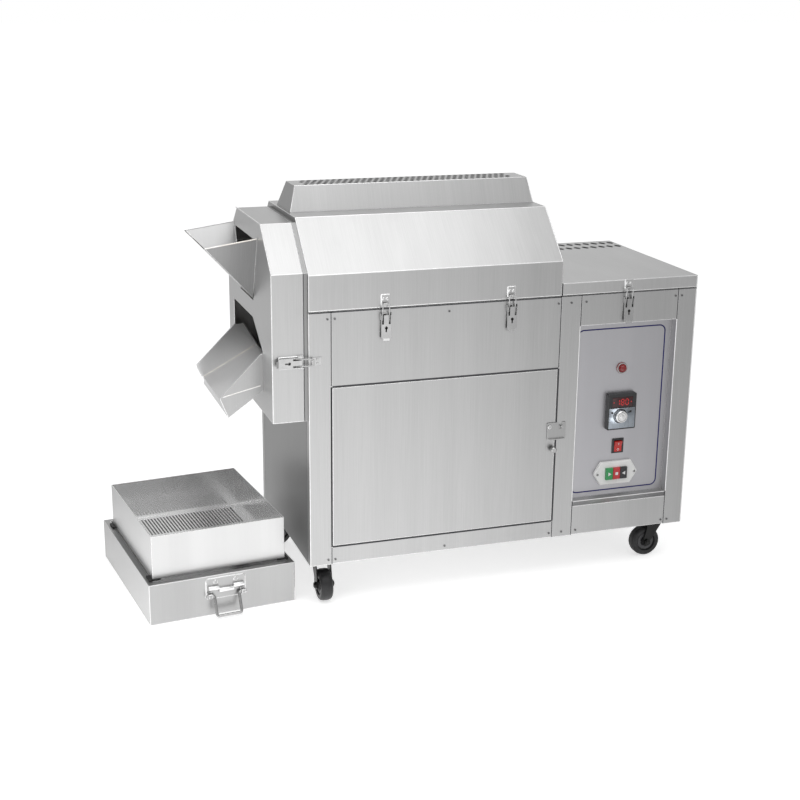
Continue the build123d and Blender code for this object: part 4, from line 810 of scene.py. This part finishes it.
def pilot_rim():
    bezel = ring((control_x, 16.9, 340.0), (0, 1, 0), 10.0, 1.3, flat=0.5)
    settle(bezel, "pilot_rim", "cabinet", finishes["chrome"])


sign_y, sign_z, sign_depth, sign_corner = 7.95, 119.5, 0.12, 0.3


def arrow_sign(x, way):
    """A flat triangle that points to the right for way 1 and to the left for way -1."""
    pick()
    turn = Matrix(((0, way, 0), (0, 0, -1), (-way, 0, 0))).to_euler()
    middle = place(x - 0.67 * way, sign_y - sign_depth / 2, sign_z)
    bpy.ops.mesh.primitive_cylinder_add(vertices=3, radius=0.0046, depth=sign_depth / 1000,
                                        location=middle, rotation=turn)
    return cut_corners(bpy.context.object, 2, sign_corner)


def square_sign(x, half):
    square = block((x - half, sign_y - sign_depth, sign_z - half),
                   (x + half, sign_y, sign_z + half))
    return cut_corners(square, 1, sign_corner)


def switch_signs():
    """Generic marks: a stroke and a circle on the rocker, an arrow or a square on buttons."""
    mark = block((control_x - 0.5, 15.5, 180.0), (control_x + 0.5, 15.85, 184.5), bevel=0.06)
    circle = ring((control_x, 15.75, 169.5), (0, 1, 0), 2.2, 0.35, 24, flat=0.5)
    marks = together([mark, circle])
    tilt, pivot = radians(9.0), place(control_x, 23.0, 176.0)
    bpy.ops.transform.rotate(value=-tilt, orient_axis="X", center_override=pivot)
    settle(marks, "rocker_marks", "rocker", white_ink)
    settle(arrow_sign(633.5, 1), "start_sign", "start", white_ink)
    settle(square_sign(649.5, 3.0), "stop_sign", "stop", white_ink)
    settle(arrow_sign(665.5, -1), "reverse_sign", "reverse", white_ink)


# Screws

def cross_recess(x, z, y, size):
    """The dark cross of a screw head that faces the front: painted shade in its recess, laid on
    as flat dark bars.
    """
    front, back, slim = y - 0.06, y + 0.04, size * 0.28
    return [block((x - size, front, z - slim), (x + size, back, z + slim)),
            block((x - slim, front, z - size), (x + slim, back, z + size))]


def station_screws():
    """The two brass screws at the ends of the push-button plate."""
    head_y, z = 11.3, 119.5
    heads, crosses = [], []
    for x in (608.0, 691.0):
        heads.append(bar((x, head_y, z), (x, head_y + 1.0, z), 2.6, 24, bevel=0.4))
        crosses += cross_recess(x, z, head_y, 1.5)
    settle(together(heads), "station_screws", "cabinet", brass)
    settle(together(crosses), "station_screw_crosses", "cabinet", dark_ink)


def front_screw_crosses():
    """The crosses of the screws along the top and the foot of the front."""
    crosses = []
    for x in (36.0, 50.0, 274.0, 499.0, 526.5, 558.0, 753.0, 767.0):
        for z in (486.0, 10.0):
            crosses += cross_recess(x, z, -1.1, 1.4)
    settle(together(crosses), "front_screw_crosses", "cabinet", dark_ink)


# Casters: each kingpin's x and y, and the way its wheel trails

caster_spots = {"front_left": (35.0, 52.0, -90.0), "front_right": (765.0, 52.0, 180.0),
                "rear_left": (35.0, 338.0, 200.0), "rear_right": (765.0, 338.0, 90.0)}


def hub_covers():
    """A flat ring and six studs on either side of each wheel's hub."""
    trail, axle_z, hub_half = 20, -54.1, 9.2
    ring_radius, ring_thickness, ring_flat = 14.8, 3.2, 0.22
    studs, stud_reach, stud_length, stud_radius = 6, 11.5, 1.2, 1.3
    for name, (x, y, turn) in caster_spots.items():
        a = radians(turn)
        hub = Vector((x + trail * cos(a), y + trail * sin(a), axle_z))
        side = Vector((-sin(a), cos(a), 0))
        covers = []
        for direction in (-1, 1):
            inner = hub + side * direction * hub_half
            covers.append(ring(inner, side, ring_radius, ring_thickness, 40, flat=ring_flat))
            for k in range(studs):
                b = 2 * pi * k / studs
                start = inner + Vector((cos(a) * cos(b), sin(a) * cos(b), sin(b))) * stud_reach
                covers.append(bar(start, start + side * direction * stud_length, stud_radius, 12,
                                  bevel=0.2))
        settle(together(covers), "hub_covers_" + name, "wheel_" + name, hub_grey)


# Welds and hems

def chute_seam():
    """The weld along the foot of the chute's far wall, laid in short overlapping beads."""
    start, end = Vector((-136.0, 319.4, 304.4)), Vector((-30.0, 319.4, 362.0))
    beads, overlap = 22, 1.15
    pitch = (end - start) / beads
    bead = bar(start, start + pitch * overlap, 1.0, 8, bevel=0.25)
    settle(repeated(bead, [pitch * k for k in range(1, beads)]), "chute_seam", "cover",
           weld_steel)


def turned_rims():
    """The turned-over edges round the hopper's mouth and along the chute's near wall."""
    root, lip, near, far, root_z, lip_z = -69.0, -166.8, 105.6, 307.4, 620.6, 607.0
    hopper = run([(root, near, root_z), (lip, near, lip_z), (lip, far, lip_z),
                  (root, far, root_z)], 1.3, 12)
    chute = run([(-73.0, 79.4, 346.5), (-145.5, 79.4, 329.6)], 1.1, 12)
    settle(hopper, "hopper_rim", "cover", weld_steel)
    settle(chute, "chute_rim", "cover", weld_steel)


# Handle plate of the lower tray

def tray_point(a, b, z):
    """A point given along the tray's front, back from it and above the floor."""
    t = radians(tray_turn)
    x, y, foot = tray_corner
    return (x + a * cos(t) - b * sin(t), y + a * sin(t) + b * cos(t), foot + z)


def handle_barrels():
    """The three barrels pressed along the handle plate, the middle one lower."""
    radius, outer_z, middle_z = 4.4, 57.0, 51.5
    barrels = [bar(tray_point(a0, -radius, z), tray_point(a1, -radius, z), radius, 24, bevel=1.4)
               for a0, a1, z in ((113.0, 134.5, outer_z), (133.5, 163.5, middle_z),
                                 (162.5, 184.0, outer_z))]
    settle(together(barrels), "handle_barrels", "tray", handle_steel)


panel_joints()
lid_joint()
all_folds()
vent_walls()
lid_slot_walls()
panel_border()
display()
controller_face()
pilot_rim()
switch_signs()
station_screws()
front_screw_crosses()
hub_covers()
chute_seam()
turned_rims()
handle_barrels()


# Floor, light and camera. A strength of 1 is white

white = (1.0, 1.0, 1.0)
room_dim, fill_gain, ahead_gain, right_loss = 0.40, 0.20, 0.58, 0.42
paper_tone, floor_lift, pool_lift, far_lift = 0.80, 0.60, 1.12, 0.20


def seen_by(nodes, *rays):
    """1 for rays of the kinds named."""
    path = nodes.node("ShaderNodeLightPath")
    seen = Number(nodes, path.outputs[rays[0]])
    for ray in rays[1:]:
        seen = seen.math("MAXIMUM", path.outputs[ray])
    return seen


def studio_world():
    """A soft room: white to the eye; in gloss pale ahead, dimmer far left and far right."""
    world = bpy.data.worlds.new("studio")
    bpy.context.scene.world = world
    world.use_nodes = True
    room = Nodes(world.node_tree)
    aim = room.node("ShaderNodeTexCoord").outputs["Generated"]
    aim_x = room.number("ShaderNodeSeparateXYZ", "X", None, {"Vector": aim})
    far_left, pale_from, dim_from, far_right = -0.65, 0.30, 0.38, 0.62
    side = aim_x.step(far_left, 0.10)
    ahead = aim_x.step(far_left, pale_from) * ahead_gain
    ahead = ahead - aim_x.step(dim_from, far_right) * right_loss

    def glow(strength):
        return room.node("ShaderNodeBackground", None, {"Color": white,
                                                        "Strength": strength}).outputs[0]

    lit = room.node("ShaderNodeMixShader", None, {
        0: seen_by(room, "Is Glossy Ray"), 1: glow(side * fill_gain + room_dim),
        2: glow(ahead + room_dim)}).outputs[0]
    both = room.node("ShaderNodeMixShader", None, {
        0: seen_by(room, "Is Camera Ray", "Is Transmission Ray"), 1: lit, 2: glow(1.0)})
    room.node("ShaderNodeOutputWorld", None, {"Surface": both.outputs[0]})


def studio_floor():
    """Pale paper, white to the eye; in gloss a painted pool of light lies before the left half.
    """
    pick()
    width, gap, slant = 60.0, 0.0005, 0.266
    bpy.ops.mesh.primitive_plane_add(size=width, location=(0, 0, cad_box[0].z - gap))
    floor = bpy.context.object
    floor.name = "floor"
    paper = Finish("floor paper")
    split = paper.node("ShaderNodeSeparateXYZ", None, {"Vector": paper.spot})
    x, y = Number(paper, split.outputs["X"]), Number(paper, split.outputs["Y"])
    # painted light: a brighter patch that only gloss sees
    pool = 1.0 - (x + y * slant).step(-0.15, 0.65)
    pool = pool * (1.0 - y.step(-0.10, 0.50))
    shade = paper.node("ShaderNodeBsdfDiffuse", None, {"Color": [paper_tone] * 3})
    eye = seen_by(paper, "Is Camera Ray", "Is Transmission Ray") * floor_lift
    gloss = seen_by(paper, "Is Glossy Ray") * (pool * (pool_lift - far_lift) + far_lift)
    lift = paper.node("ShaderNodeEmission", None, {"Color": white, "Strength": eye + gloss})
    both = paper.node("ShaderNodeAddShader", None, {0: shade.outputs[0], 1: lift.outputs[0]})
    paper.node("ShaderNodeOutputMaterial", None, {"Surface": both.outputs[0]})
    floor.data.materials.append(paper.material)


def soft_light(name, spot, target, width, height, power):
    """A rectangular lamp, in metres and watts, aimed at a target."""
    pick()
    bpy.ops.object.light_add(type="AREA", location=spot)
    lamp = bpy.context.object
    lamp.name = name
    lamp.data.shape = "RECTANGLE"
    lamp.data.size = width
    lamp.data.size_y = height
    lamp.data.energy = power
    lamp.rotation_euler = (Vector(target) - Vector(spot)).to_track_quat("-Z", "Y").to_euler()


def photo_camera():
    """The photograph's viewpoint: its place, aim and lens as fitted to the cabinet's edges."""
    eye = (-645.5, -2431.1, 1097.0)
    yaw, pitch, roll = radians(18.71), radians(16.85), radians(0.61)
    sensor, focal_pixels, image_pixels = 36.0, 1416.4, 800
    turn_yaw = Matrix(((cos(yaw), 0, -sin(yaw)), (0, 1, 0), (sin(yaw), 0, cos(yaw))))
    turn_pitch = Matrix(((1, 0, 0), (0, cos(pitch), -sin(pitch)), (0, sin(pitch), cos(pitch))))
    turn_roll = Matrix(((cos(roll), -sin(roll), 0), (sin(roll), cos(roll), 0), (0, 0, 1)))
    base = Matrix(((1, 0, 0), (0, 0, -1), (0, 1, 0)))
    view = turn_roll @ turn_pitch @ turn_yaw @ base
    data = bpy.data.cameras.new("photo_camera")
    camera = bpy.data.objects.new("photo_camera", data)
    bpy.context.scene.collection.objects.link(camera)
    data.sensor_width = sensor
    data.lens = sensor * focal_pixels / image_pixels
    data.clip_end = 100.0  # beyond the floor's far edge
    rows = Matrix((view[0], -view[1], -view[2]))
    camera.matrix_world = Matrix.Translation(place(*eye)) @ rows.transposed().to_4x4()
    bpy.context.scene.camera = camera


studio_world()
studio_floor()
soft_light("overhead", (-0.25, -0.75, 2.4), (-0.10, 0.0, 0.4), 2.4, 1.8, 24)
soft_light("front_left", (-1.9, -1.5, 1.3), (-0.5, -0.6, 0.0), 1.4, 1.4, 6)
photo_camera()
bpy.context.scene.view_settings.view_transform = "Standard"
